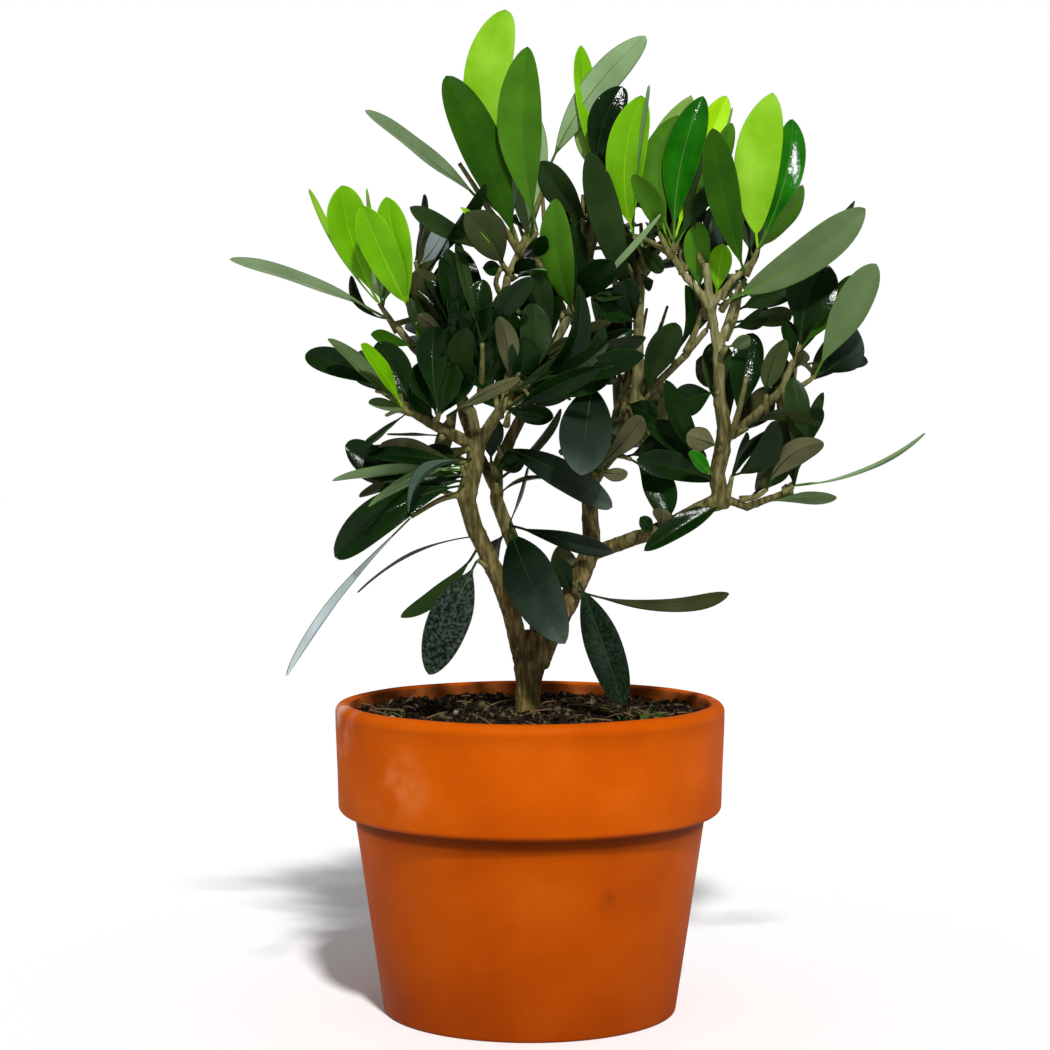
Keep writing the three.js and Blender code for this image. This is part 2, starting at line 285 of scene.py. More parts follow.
# A tint is the looks of a leaf's upper side, its underside, and its midrib and margins.
TINTS = {
    # Their dark underside is partly an old leaf's own colour, partly painted shade on leaves deep in the
    # crown.
    **{tint: ((tint,), "under_old", "rib") for tint in ("deep", "glossy", "dusk", "dusty", "spotted")},
    **{tint: ((tint,), "under", "rib_pale") for tint in ("mid", "grey", "vivid")},
    **{tint: ((tint,), "under_young", "rib_young") for tint in YOUNG_TINTS},
    "moss": (("moss",), "under", "rib_moss"),
    "olive": (("olive",), "under_tan", "rib"),
    "tan": (("dusk",), "under_tan", "rib"),
    # A black underside stands in for shade on leaves deep in the crown: painted shade.
    "black": (("deep",), "under_dark", "rib"),
    "ash": (("dusk",), "ash", "rib"),
    # A silvery underside, brightened beyond its own colour as painted light.
    "silver": (("grey",), "silver", "rib_pale"),
    # Its grey towards the tip is a painted sheen.
    "slate": (SHEEN_STEPS, "under_old", "rib"),
}
# The mature leaves are joined in four pieces, dealt out from left to right by where a leaf's middle is.
PART_EDGES = (-30, 4, 44)
mature = {part: Soup() for part in ("left", "inner_left", "inner_right", "right")}
young, twigs = Soup(), Soup()


def part_at(x):
    return list(mature)[sum(x > edge for edge in PART_EDGES)]


def add_leaf(tint, base, tip, *rest, **given):
    soup = young if tint in YOUNG_TINTS else mature[part_at(base.lerp(tip, 0.5).x)]
    leaf(soup, TINTS[tint], base, tip, *rest, **given)


def shoot(name, *points):
    """A shoot that grows through the given points. It gives back a function that puts a leaf on it."""
    rng = random.Random(name)
    route = smooth_path([Vector(p) for p in points], 2.5)
    tube(twigs, route, (1.5, 0.8), 8)

    def on(share, x, y, z, width, turn, tint, **shape):
        """A leaf at a share of the way along the shoot, with its tip where the front shows it."""
        add_leaf(tint, route[round(share * (len(route) - 1))], seen(x, y, z), width, turn, rng, **shape)

    return on


# The shoots that the front shows one by one, each with its leaves.
on = shoot("top_left", (-4, 2, 289), (-6, 3, 298), (-10, 4, 309))
on(1, -9.5, 8, 383.5, 18, 10, "lime", arc=-0.11, widest=0.64)
on(0.2, -32, -6, 358.5, 17.8, 14, "moss", arc=0.01, widest=0.6, full=1.05)
on(0.6, -6, 40, 352, 14, 150, "mid")
on(0.8, -25, 34, 342, 13, 150, "moss")
on = shoot("top_left_near", (-4, 2, 289), (-1, 1, 294), (3, 0, 299))
on(1, -1, -10, 369.5, 17.5, -10, "mid", arc=-0.05, widest=0.56)
on(0, 6, -14, 297.5, 8, 45, "deep")
on(0.4, 0, 30, 346, 12, 160, "mid")
on = shoot("top_left_bare", (-4, 1, 291), (-9, 0, 299), (-16, -1, 308), (-21, -2, 316), (-27, -3, 325))
on(0.6, -63, 0, 345.3, 11, 122, "grey", arc=-0.02, full=0.9)
on = shoot("top_side", (-6, 2, 281), (-10, 0, 286), (-12, -2, 290))
on(1, -46, -8, 308.5, 8, 20, "dusk", arc=-0.03)
on(0.6, -24.5, -22, 306.5, 15, 12, "olive", widest=0.55, full=0.75, arc=0.06)
on(0.4, -18, -6, 285.5, 6, 10, "black")
on(0.2, 2, -10, 288, 7, 10, "black")
on(0.6, -26.5, -22, 308.5, 4, 20, "lime")
on(0, 6, -18, 284.3, 8, 72, "moss", arc=-0.06)
on = shoot("top_second", (-4, 3, 291), (0, 8, 302), (5, 11, 316), (7.5, 12, 325))
on(1, 44, 14, 373.5, 13, 172, "mid", arc=-0.07, widest=0.62, full=0.85)
on = shoot("top_centre", (22, 10, 287), (24, 9, 300), (26, 8, 312), (26, 8, 321))
on(1, 19.5, 30, 370, 10, 22, "bright", arc=-0.03, full=0.8)
on(1, 18.5, 18, 343, 6, 175, "lime")
on(0.95, 35, 9, 354.5, 13, 0, "glossy", arc=-0.09, widest=0.62, bow=0.1)
on(0.4, 4, -8, 326, 12, -18, "dusk")
on(0.6, 32, 30, 338, 11, 170, "deep")
on = shoot("second_left", (8, 10, 252), (8, 5, 256))
on(1, 3, 0, 285, 10, 12, "dusk", full=0.8)
on(0.6, 9, 4, 281, 9, -8, "black")
on(0.3, -4, 4, 274, 9, 10, "black")
on = shoot("second_side", (17, 10, 264), (19, 6, 271))
on(1, 50.5, -10, 306, 10, 108, "grey")
on(1, 31.5, -10, 288.3, 13, 14, "deep", arc=-0.08)
on(0.3, 9.7, -12, 312, 13, -14, "mid", arc=-0.045, widest=0.55, full=0.9)
on(0.8, 16, 6, 302.5, 9, 14, "black")
on = shoot("inner_top", (43.5, 9, 281), (44, 8, 289), (40, 6, 298))
on(1, 42.5, -8, 351, 15.5, 8, "bright", arc=-0.1, widest=0.58, full=0.7)
on(1, 45.6, -12, 355, 10, 80, "moss", arc=-0.03)
on(0.5, 56, 32, 334, 13, 160, "mid")
on(0.3, 60, 10, 290, 8, 60, "dusk")
on(0.9, 51, 0, 284, 7, 30, "dusk")
on(0.2, 47, 0, 280.5, 8, 70, "dusk", arc=0.2)
on(0, 26, -2, 273, 9, 50, "dusk")
on = shoot("middle_side", (42, 9, 262), (41, 7, 267))
on(1, 22.7, -4, 329.5, 13, 12, "dusk", arc=-0.035, widest=0.62)
on(0.6, 24, -2, 271, 9, 20, "black")
on(0, 27, 6, 257, 11, 10, "black")
on(0.3, 36, -4, 281, 11, -10, "black")
on = shoot("crest", (54, -2, 289), (55, -3, 295))
on(1, 66, 3, 350.8, 14.5, 0, "vivid", arc=-0.06, widest=0.55, cup=-0.35, bow=0.07)
on(0.7, 61.5, 14, 351, 14, 172, "lime", arc=-0.15)
on(0.8, 56, 11, 343.5, 13, -12, "mid", arc=-0.13)
on(1, 75, 16, 350.8, 14, 8, "neon", arc=-0.03)
on(0.5, 77.3, 8, 340.5, 9, 20, "mid")
on(0.8, 68, 5, 330, 14, 4, "dusk", arc=0.06)
on(0.5, 77.5, 12, 346.5, 7, 75, "mid")
on(0.3, 70, 30, 330, 13, 160, "mid")
on = shoot("crest_left", (54, -2, 289), (51, -3, 295), (49, -4, 299))
on(1, 39.8, -16, 321, 9.5, -22, "mid", arc=0.1, full=0.6, widest=0.45)
on = shoot("leader_side", (68, 2, 266), (66, 3, 275))
on(1, 64.5, 0, 303, 10.5, 8, "mid", arc=-0.06)
on(0.5, 73, 6, 300, 8, 20, "slate")
on(0.8, 70, 10, 308.5, 11, 10, "slate")
on(0.6, 71, 12, 308, 8, 40, "grey")
on = shoot("leader_right", (69, 2, 262), (71.5, 1, 274))
on(1, 73.8, 0, 294.5, 9, 0, "bright")
on = shoot("top_right", (82, -7, 282), (84, -8, 286), (86.5, -8, 292))
on(1, 92.6, -10, 352, 17.5, 3, "lime", arc=-0.065, widest=0.53, full=0.65)
on(1, 100.3, 5, 342, 12.5, 2, "vivid", arc=0.05, widest=0.62, full=0.8, bow=0.08)
on(1, 104.2, -18, 317, 10, 45, "mid", full=0.6, arc=0.04)
on(0.1, 69.7, -18, 338.5, 13, -4, "moss", arc=-0.03, widest=0.6, full=0.85)
on(0.6, 86, 34, 330, 14, 170, "mid")
on(0.6, 97, 32, 322, 12, 150, "moss")
on = shoot("outer_side", (73, -4, 269), (76, -8, 273))
on(1, 128.3, -12, 308, 14.5, 8, "grey", arc=0.035, widest=0.6, full=0.55)
on(0.5, 124.3, 4, 311, 7, 25, "dusk", arc=0.07, widest=0.6)
on = shoot("right", (100, -3, 246), (102, -4, 251), (103, -5, 256))
on(1, 113.5, 4, 287, 19.5, 0, "glossy", arc=-0.08, widest=0.52, cup=0.35)
on(0.8, 123.5, 10, 282.5, 9, 20, "moss")
on(0.3, 98, -2, 265.5, 7, 20, "black")
on(0.1, 105.8, -14, 253.5, 5, 172, "olive")
on(0.5, 104, 30, 280, 13, 150, "deep")
on = shoot("right_spur", (98, -3, 240), (104, -5, 240.5), (108.5, -7, 244))
on(1, 132.5, -8, 287, 14.2, 10, "grey", arc=-0.03)
on(0.95, 125.5, 0, 262, 14.5, 4, "slate", arc=0.12)
on(0.6, 120, 26, 262, 12, 150, "deep")
on = shoot("right_side_low", (90, -4, 230), (90, -7, 237))
on(1, 98, -12, 258.3, 10.5, 25, "olive", widest=0.5, full=0.6, arc=-0.09)
on(0.6, 99, 6, 250, 9, 10, "deep")
on(0.5, 104, 22, 240, 11, 140, "deep")
on = shoot("right_curled", (79, -4, 222), (83, -7, 224))
on(1, 111.5, -24, 225.5, 9, 60, "olive", arc=-0.19)
on = shoot("right_back", (75, 2, 258), (79, 4, 267), (81, 7, 277), (80, 8, 285))
on(0.45, 103, 10, 281.7, 11, 15, "dusk", full=0.8)
on(0.2, 91.5, 8, 269.3, 8, 25, "dusk")
on(0.3, 100.5, 14, 267.5, 8, 20, "olive")
on = shoot("upright_node", (73, -4, 252), (75, -6, 255))
on(1, 84.5, -8, 259, 7, 40, "grey")
on = shoot("upright_fork", (76, -3, 220), (79, -7, 225))
on(1, 85.7, 4, 260.5, 13, 0, "glossy", arc=-0.02, widest=0.62)
on(0.2, 71, 14, 257, 13.5, 4, "dusk")
on(0.2, 92, 22, 240, 12, 150, "deep")
shoot("upright_stub", (77, -4, 221), (79.5, -12, 232), (81.5, -17, 243))
on = shoot("upright_left", (73, -2, 236), (71, -4, 238))
on(1, 54, -8, 233, 12.5, -8, "deep")
on(1, 64, 20, 250, 11, 120, "deep")
on = shoot("upright_low", (73, -4, 202.5), (70, -6, 206))
on(1, 52, -12, 242.5, 9, 12, "deep", arc=-0.05)
on(0.2, 41, -10, 212, 11, 10, "deep", full=0.7)
on(0.8, 45, -2, 226, 11, 15, "black")
on(1, 61, -18, 214.5, 7, 30, "vivid")
on = shoot("upright_round", (73, -4, 214), (72, -7, 217))
on(1, 60, -16, 221, 9.5, 172, "tan", widest=0.5)
on = shoot("cross", (60, 5, 253), (64, 4, 262), (66, 2, 270))
on(0.7, 61, 0, 285, 8, 72, "dusk")
on(0.2, 70, 26, 282, 12, 150, "deep")
on = shoot("cross_left", (56, 6, 248), (55, 4, 251))
on(1, 59.8, -2, 279, 8, 52, "deep", arc=0.1)
on = shoot("cross_low", (43, 11, 232), (44, 8, 236))
on(1, 56, -4, 264.5, 12.5, 18, "dusk")
on(0, 60, 30, 236, 12, 150, "deep")
on = shoot("right_low", (96, -12, 199.5), (100, -13, 202))
on(1, 152, -18, 222.1, 9, 83, "grey", arc=0.075)
on(1, 100.7, -10, 243.5, 10, 15, "dusk", widest=0.7)
on(1, 112.3, 0, 231.5, 9, 10, "black", arc=-0.12, widest=0.7)
on(1, 112.7, 4, 237.8, 7, 25, "dusk")
on(1, 101.5, -8, 217, 6, 165, "dusk")
on(0.9, 97, -2, 228, 7, 165, "dusk", widest=0.75)
on = shoot("right_low_under", (86, -8, 195), (89, -9, 196))
on(1, 118, -20, 197.5, 8.5, 55, "grey")
on = shoot("knuckle", (75, -6, 196), (77, -9, 206))
on(1, 94.5, -24, 226.8, 10, 10, "glossy", arc=0.16, full=0.7)
on(0, 44, -14, 176.9, 9.5, 38, "deep", arc=0.0, widest=0.4, full=0.7)
on(0.9, 83.5, -14, 222.5, 6, 60, "dusk", arc=-0.05)
on(0.6, 93, -16, 224, 7, 40, "deep", arc=-0.14)
on = shoot("knuckle_right", (80, -8, 197), (86, -10, 198), (90, -12, 201))
on(1, 112.7, -28, 218.7, 10, 168, "tan", arc=-0.13, widest=0.55, bow=0.02)
on(0.9, 98, -10, 214, 10, 20, "dusk")
on(0.4, 92, 14, 214, 11, 130, "deep")
on = shoot("right_bud", (46, -4, 183), (49, -8, 186))
on(1, 51, -14, 193, 8, 165, "tan", widest=0.6)
on(0.3, 42.5, -10, 189.8, 5.5, 10, "deep")
on = shoot("centre", (-8, -17, 239), (0, -18, 240.5), (10, -18, 241), (24, -17, 243))
on(0.55, 44, -28, 252, 10.5, -24, "glossy", cup=0.4)
on(0.6, 44.5, -18, 259, 8, 14, "glossy", arc=-0.06)
on(0.65, 28.3, -22, 263.5, 7.5, 38, "dusk", arc=0.12)
on(0.1, 18.5, -30, 279.5, 10, 24, "glossy", arc=0.21, widest=0.5, cup=0.5)
on(1, 19.5, -28, 206, 20, 3, "slate", widest=0.55, full=0.7)
on(0.2, 1, -12, 272, 13, 10, "dusk")
on(0.1, -2, -22, 259, 13, 20, "black")
on(0, -11.5, -30, 267, 9.5, 165, "tan")
shoot("top_stub", (-4, 0, 268), (-9, -2, 272), (-13, -4, 279), (-11, -6, 285))
on = shoot("inner_core", (-11, -14, 228), (-13, -10, 236), (-12, -8, 244))
on(1, -21, -4, 262, 12, 10, "black")
on(1, -7, -10, 268, 12, -8, "black")
on(0.5, -24, -14, 252, 11, 12, "glossy", cup=0.5)
on(0.6, -4, -16, 254, 12, 8, "deep")
on(0.3, 9, -6, 228, 9, 20, "black")
on(0.2, -16, -4, 239, 10, 8, "black")
on(0.8, -15, -18, 258, 11, -14, "glossy", cup=0.5, bow=0.1)
on = shoot("inner_low", (-13, 6, 206), (-15, 3, 211))
on(1, -14, -2, 228, 9, 10, "black")
on(0.6, -2, 2, 213, 9, -10, "black")
on = shoot("centre_node", (-9, -13, 225), (-8, -17, 230))
on(1, 27, -38, 247.5, 9, 28, "deep", arc=-0.05)
on = shoot("arm_front", (-30, -12, 226), (-31, -14, 229))
on(1, -3.5, -38, 243, 6.5, 150, "tan")
on = shoot("second_low", (-11, 7, 212), (-12, 0, 217.5))
on(1, 31.7, -14, 193.6, 11.5, 8, "slate", arc=-0.05, widest=0.55, full=0.8)
on = shoot("middle_low", (25, 9, 205), (25, 4, 207.5))
on(1, 43.5, -8, 228.4, 9.5, 168, "tan", widest=0.72)
on(1, 37.5, -2, 206, 6, 160, "tan")
on = shoot("middle_hang", (28, 9, 211), (34, 5, 213.5), (39, 2, 212))
on(1, 53.5, -10, 190, 12.5, 8, "deep", arc=-0.12)
on(0.8, 58, 2, 222, 11, 14, "black")
on = shoot("middle_side_low", (36, 9, 230), (37, 7, 234))
on(1, 48.5, 0, 227.4, 10, 20, "black")
on(0, 33, 4, 221, 9, 170, "dusk")
on = shoot("second_twig", (-13, 7, 194), (-13, 4, 203))
on(0.3, 8.5, -6, 204.5, 7, 82, "deep", arc=-0.16)
on(1, 12, -8, 231.5, 9, 66, "dusk", arc=0.03)
on = shoot("low_centre", (-9, 8, 183), (-8, 4, 186.5))
on(1, -0.6, 0, 209, 8, 80, "deep")
on(1, 13.5, -32, 141, 20, 6, "slate", widest=0.42, full=0.8, arc=0.02)
on(1, 32, -12, 176.5, 9, 35, "slate", arc=-0.02)
on(0.6, -14, 32, 166, 12, 40, "deep")
on = shoot("left", (-44, -14, 229.5), (-48, -15, 231.5), (-49, -14, 237))
on(1, -86.2, -12, 252.3, 10.5, 10, "deep", arc=0.03, cup=0.5)
on(0.5, -77.5, -26, 258.3, 9.5, 58, "grey", arc=0.0)
on(0.5, -64.7, -32, 256.3, 9, 52, "bright")
on(0, -58.5, -6, 257, 13.5, 8, "glossy")
on(0.1, -62, -20, 234, 7, 60, "grey", arc=0.0)
on(0.2, -63, -26, 217, 8, 74, "deep")
on(0.9, -70, 16, 249, 9, 150, "deep")
on = shoot("left_upper", (-42, 3, 252), (-44, 1, 255))
on(1, -61, -6, 260, 8, 50, "moss")
on = shoot("left_core", (-36, -13, 227), (-35, -19, 227.5), (-34, -25, 229.5))
on(0.6, -42, -16, 249.5, 13, 5, "glossy")
on(1, -36.5, -14, 263, 12, 0, "glossy", cup=0.5, arc=-0.04, bow=0.1)
on(0.5, -30, -22, 250, 12, -10, "black")
on(0.1, -46, -16, 237, 8, 15, "black")
on(0.1, -23, -14, 251, 10, 8, "black")
on = shoot("left_arm_twig", (-33, -13, 220), (-34, -14, 221.5))
on(1, -55, -18, 222, 7, 83, "deep")
on = shoot("left_shelf", (-22, -10, 204), (-25, -12, 207), (-26, -13, 210))
on(0.5, -71, -14, 217.5, 12.5, 8, "deep", arc=-0.12, widest=0.76)
on(0.8, -76, -28, 204, 9.5, 125, "grey", arc=0.0)
on(1, -62.5, -22, 213.7, 9, 42, "deep")
on(1, -58, -6, 216.8, 9, 118, "tan", arc=0.06)
on(0.9, -62.3, -36, 194, 8, 125, "grey")
on(0.6, -58, 22, 206, 12, 60, "deep")
on(0.9, -40, -2, 217, 11, 30, "black")
on(0.1, -58, -16, 199.5, 9, 15, "black")
on(0.2, -44, -8, 203, 9, 20, "black")
on = shoot("left_droop", (-22, -10, 199), (-23, -12, 202.5))
on(1, -75.2, -26, 174.5, 15, 16, "glossy", arc=0.08, widest=0.62, cup=0.3)
on = shoot("left_front", (-19, -10, 210), (-21, -12, 212.3))
on(1, -47, -42, 191.5, 8, 140, "ash", arc=0.15)
on = shoot("left_twig", (-23, -10, 200), (-34, -13, 197), (-45, -15, 190.5))
on(1, -94, -26, 128.5, 7.5, 110, "silver", arc=0.035, bow=0)
on = shoot("low_left", (-14, -8, 170), (-17, -10, 172), (-20, -11, 174))
on(1, -39, -28, 129, 16, 3, "dusty", widest=0.5, full=0.9, arc=0.02)
on = shoot("low_left_side", (-17, -7, 177), (-20, -9, 179))
on(1, -49.8, -10, 151.2, 8.5, 50, "dusk", arc=-0.1)
on = shoot("low_left_arch", (-17, -7, 182), (-21, -8, 183))
on(1, -66.7, -18, 160.8, 8, 80, "deep", arc=0.08)
on = shoot("low_right", (17, -3, 160), (18.5, -6, 166))
on(1, 36, -26, 117, 14, 4, "spotted", widest=0.5, arc=-0.015, full=0.75, cup=0.1)
on(0.3, 76.8, -12, 160.3, 7.5, 140, "dusk", arc=0.05, widest=0.78)
on(0.3, 10.5, 4, 178.5, 11, 172, "tan", widest=0.5)
on(0, 9.5, -8, 173.5, 9, 12, "deep")
on = shoot("upper_left", (-51, 4, 261), (-54, 3, 266), (-58, 2, 272))
on(1, -72, -4, 316.8, 16, 6, "bright", arc=-0.06, widest=0.68)
on(0.95, -84.5, 8, 315.5, 8, 80, "lime", arc=-0.06)
on(0.8, -62.3, 12, 315.8, 5, 70, "bright")
on(0.3, -115, 0, 288.8, 13.5, 112, "grey", arc=0.04, bow=0)
on(0.3, -68.5, 6, 282.5, 8, 60, "deep", arc=-0.24)
on(0.8, -66, 36, 300, 13, 150, "mid")
on(0.7, -50, 40, 298, 12, 170, "mid")
on = shoot("upper_left_near", (-41, 3, 253), (-41, 0, 260), (-43, -2, 265), (-46, -3, 269))
on(0.95, -64.5, -14, 309.2, 13.5, 8, "bright", arc=-0.02, widest=0.64, full=0.6)
on(1, -55, -10, 312.4, 12.5, -4, "bright", arc=0.0, widest=0.62, full=0.75)
on(0, -43, -6, 266, 4.5, 10, "bright")
on = shoot("upper_left_back", (-41, 3, 256), (-43, 4, 268), (-42, 3, 278), (-44, 3, 288))
on(1, -40.3, -4, 313.5, 8, 77, "deep")
on(0.95, -33, -6, 299, 10, 168, "silver", widest=0.7)
on(0.8, -17, -14, 317.5, 10, 70, "dusk")
on(0.6, -40, 30, 304, 12, 150, "deep")
on = shoot("core_left", (-31, -4, 240), (-31, -6, 250), (-30, -6, 260))
on(1, -44, -8, 284.5, 12, 168, "dusk", widest=0.7)
on(0.95, -34, -12, 289.7, 9, 12, "deep", arc=0.06)
on(1, -31.5, -6, 292.8, 10, -8, "dusk", arc=0.1)
on(0.9, -43, -22, 267.6, 6, 165, "tan")
on = shoot("core_inner", (-19, -8, 236), (-18, -18, 248), (-18, -22, 256))
on(0.4, -18, -12, 281, 13, -6, "glossy", cup=0.5, arc=-0.06, bow=0.1)
on(0.95, 1, -26, 281.8, 9, 28, "glossy", arc=-0.07)
on(1, -28, -4, 297, 6, 35, "dusk", arc=-0.04)
on(0.3, -24.5, -34, 262.5, 10.5, -14, "dusk", arc=-0.16)
on(0.2, -31.5, -30, 263, 10, -28, "deep")
on(0.6, -6, 0, 270, 12, 20, "black")


# ---- The foliage that grows by rule ----
DARK = ("deep", "deep", "black", "dusk")
SHINY = ("glossy", "deep", "black", "dusk")
# The thick of the crown: how many shoots fill each mass, and how near the front they may come.
FILLED = {
    "core_left": (60, -20), "centre": (50, -22), "centre_low": (24, -16), "centre_right": (30, -6),
    "inner_top": (16, -4), "left": (12, -4), "left_shelf": (12, -8), "right_low": (16, -4),
    "right_inner": (14, 6), "right": (6, 8), "crest": (8, 6),
}  # fmt: skip
# The depth of the crown: how many shoots grow behind each mass, and how far back they reach.
DEEP = {
    "core_left": (34, 52), "centre": (34, 55), "centre_right": (26, 50), "inner_top": (20, 48),
    "crest": (18, 46), "top_centre": (14, 40), "left": (14, 40), "left_shelf": (14, 36),
    "right_low": (22, 42), "right_inner": (22, 46), "right": (20, 44), "centre_low": (10, 34),
}  # fmt: skip
# The back: how many twigs fill each mass, where they start, and their tints.
BACK = {
    "back_left": (12, (-28, 41, 237), DARK),
    "back_right": (12, (35, 41, 231), DARK),
    "back_top": (9, (8, 35, 285), ("moss", "deep", "deep")),
}
# Where the sky shows through the crown from the front: the least and greatest x, then z.
SKY = [
    (-82, -46, 256, 262), (-64, -54, 264, 270), (-90, -63, 226, 241), (-22, -14, 289, 297), (4, 9, 260, 266),
    (12, 21, 316, 332), (43, 60, 254, 281), (56, 70, 222, 231), (55, 66, 243, 249), (62, 76, 256, 268),
    (74, 80, 246, 253), (82, 92, 205, 224), (84, 110, 252, 264), (2, 12, 227, 235), (-6, 20, 186, 203),
    (-60, -38, 217, 227), (103, 113, 203, 217), (-64, -52, 270, 277), (-17, -13, 184, 196),
    (55, 72, 186, 203), (104, 130, 236, 243), (112, 140, 196, 226), (110, 118, 276, 290),
    (76, 90, 256, 266), (30, 46, 182, 206),
]  # fmt: skip
# How long the shoots and the leaves of each rule are, and a leaf's width as a share of its length.
FILL_SHOOT, FILL_LEAF, FILL_SLIM = (5, 12), (28, 48), (0.17, 0.24)
DEEP_SHOOT, DEEP_LEAF, DEEP_SLIM = (14, 34), (24, 40), (0.22, 0.3)
BACK_LEAF, BACK_SLIM = 40, (0.2, 0.26)
BUNCH, KEPT = 14, 4  # leaves tried at the end of a filling shoot, and the most that it keeps
BACK_PAIRS = 6  # of leaves on a twig of the back
TURN = (-60, 60)  # of an inner leaf's upper side, in degrees


def mass_tree(name):
    """A node in a form that can be asked what lies inside it or behind it."""
    return BVHTree.FromObject(node(name), bpy.context.evaluated_depsgraph_get())


def inside(tree, point, margin):
    """Whether a point is further than a margin inside a closed mass; a margin under 0 lets it be outside."""
    spot = point * MM
    near, normal, _, far = tree.find_nearest(spot)
    depth = far if (spot - near).dot(normal) < 0 else -far
    return depth > margin * MM


def behind(tree, spot):
    """Whether a point stands behind a mass, as the camera sees it."""
    return tree.ray_cast(EYE * MM, (spot - EYE).normalized())[0] is not None


def clear_of_sky(base, tip, width):
    """Whether a leaf leaves every gap of sky open, as the camera sees it."""
    aside = (tip - base).cross(FORWARD).normalized() * width * 0.5
    for share in (0.3, 0.5, 0.7, 0.9, 1.0):
        for edge in (-1, 0, 1):
            x, z = as_seen(base.lerp(tip, share) + aside * edge * (0.2 if share == 1 else 0.9))
            if any(left < x < right and low < z < high for left, right, low, high in SKY):
                return False
    return True


def any_way(rng, back, up):
    """A way drawn evenly from all, but for a lean to the back and upwards."""
    return Vector((rng.gauss(0, 1), rng.gauss(back, 1), rng.gauss(up, 1))).normalized()


def starts_in(rng, mass, count):
    """Points drawn from those on the boughs that pass through a mass or near it."""
    points = [v.co / MM for name in LIMBS for v in node(name).data.vertices]
    points = [p for p in points if inside(mass, p, -6)]
    for _ in range(count):
        yield rng.choice(points)


def grow_filling(name, count, front):
    """Short side shoots in the thick of the crown, with leaves that stay inside their own mass."""
    rng, bend, mass = random.Random(name), random.Random(name + " bend"), mass_tree(name)
    for start in starts_in(rng, mass, count):
        aim = Vector([rng.uniform(*span) for span in zip(*box(name))])
        way = (aim - start).normalized()
        end = start + way * rng.uniform(*FILL_SHOOT)
        leaves = []
        for _ in range(BUNCH):
            out, long = any_way(rng, 0, 0.25), rng.uniform(*FILL_LEAF)
            tip, width = end + (way * 0.5 + out).normalized() * long, long * rng.uniform(*FILL_SLIM)
            middle = (end + tip) / 2
            near = min(tip.y, middle.y) > front and inside(mass, tip, -2) and inside(mass, middle, 0)
            if near and clear_of_sky(end, tip, width):
                leaves.append((tip, width))
        if not leaves or not clear_of_sky(start, end, 2):
            continue
        tube(twigs, smooth_path([start, (start + end) / 2 + UP * 0.6, end], 2), (1.1, 0.7), 6)
        for tip, width in leaves[:KEPT]:
            bow, cup = bend.uniform(0.06, 0.22), bend.uniform(0.3, 0.9)
            add_leaf(rng.choice(SHINY), end, tip, width, rng.uniform(*TURN), rng, bow=bow, cup=cup)


def grow_depth(name, count, deepest):
    """Shoots that give the crown its depth: they start on the boughs and stay behind the front's leaves."""
    rng, mass = random.Random(name + " depth"), mass_tree(name)
    low, high = box(name)
    for start in starts_in(rng, mass, count):
        spans = (low.x, high.x), (high.y, deepest), (low.z, high.z)
        aim = Vector([rng.uniform(*span) for span in spans])
        way = (aim - start).normalized()
        end = start + way * min((aim - start).length, rng.uniform(*DEEP_SHOOT))
        if not (behind(mass, end) and clear_of_sky(start, end, 3)):
            continue
        route = smooth_path([start, (start + end) / 2 + UP * 1.5, end], 2.5)
        leaves = []
        for share in (0.45, 0.45, 0.45, 0.725, 0.725, 0.725, 1, 1, 1):
            base = route[round(share * (len(route) - 1))]
            out, long = any_way(rng, 0.3, 0.3), rng.uniform(*DEEP_LEAF)
            tip, width = base + (way * 0.8 + out).normalized() * long, long * rng.uniform(*DEEP_SLIM)
            hid = behind(mass, tip) and behind(mass, (base + tip) / 2) and tip.y < deepest + 8
            if hid and min(base.y, tip.y) > start.y - 4 and clear_of_sky(base, tip, width):
                leaves.append((base, tip, width))
        if leaves:
            tube(twigs, route, (1.3, 0.7), 6)
        look = (way + UP).normalized()
        for base, tip, width in leaves:
            add_leaf(rng.choice(DARK), base, tip, width, rng.uniform(*TURN), rng, look=look)


def branch(rng, start, way, length, tints, mass):
    """A twig that bends upwards, with leaves in opposite pairs, each pair across the one before."""
    path = [start, start + way * length * 0.5, start + (way + UP * 0.25).normalized() * length]
    route = smooth_path(path, 2.5)
    tube(twigs, route, (1.5, 0.6), 7)
    across = way.orthogonal().normalized()
    spin = rng.uniform(0, math.pi)
    for pair in range(BACK_PAIRS):
        share = mix(0.3, 1, pair / (BACK_PAIRS - 1))
        base = route[round(share * (len(route) - 1))]
        for opposite in (0, math.pi):
            angle = spin + pair * math.pi / 2 + opposite + rng.uniform(-0.3, 0.3)
            out = Matrix.Rotation(angle, 3, way) @ across
            lean = math.radians(mix(75, 32, share) + rng.uniform(-12, 12))
            long = BACK_LEAF * rng.uniform(0.75, 1.1) * (1 - 0.25 * share * share)
            direction = (way * math.cos(lean) + out * math.sin(lean)).normalized()
            tint, tip = rng.choice(tints), base + direction * long
            if inside(mass, tip, -7) and clear_of_sky(base, tip, 12):
                width, turn = long * rng.uniform(*BACK_SLIM), rng.uniform(-20, 20)
                look = (way + UP * 0.8 - direction * 0.3).normalized()
                add_leaf(tint, base, tip, width, turn, rng, look=look)


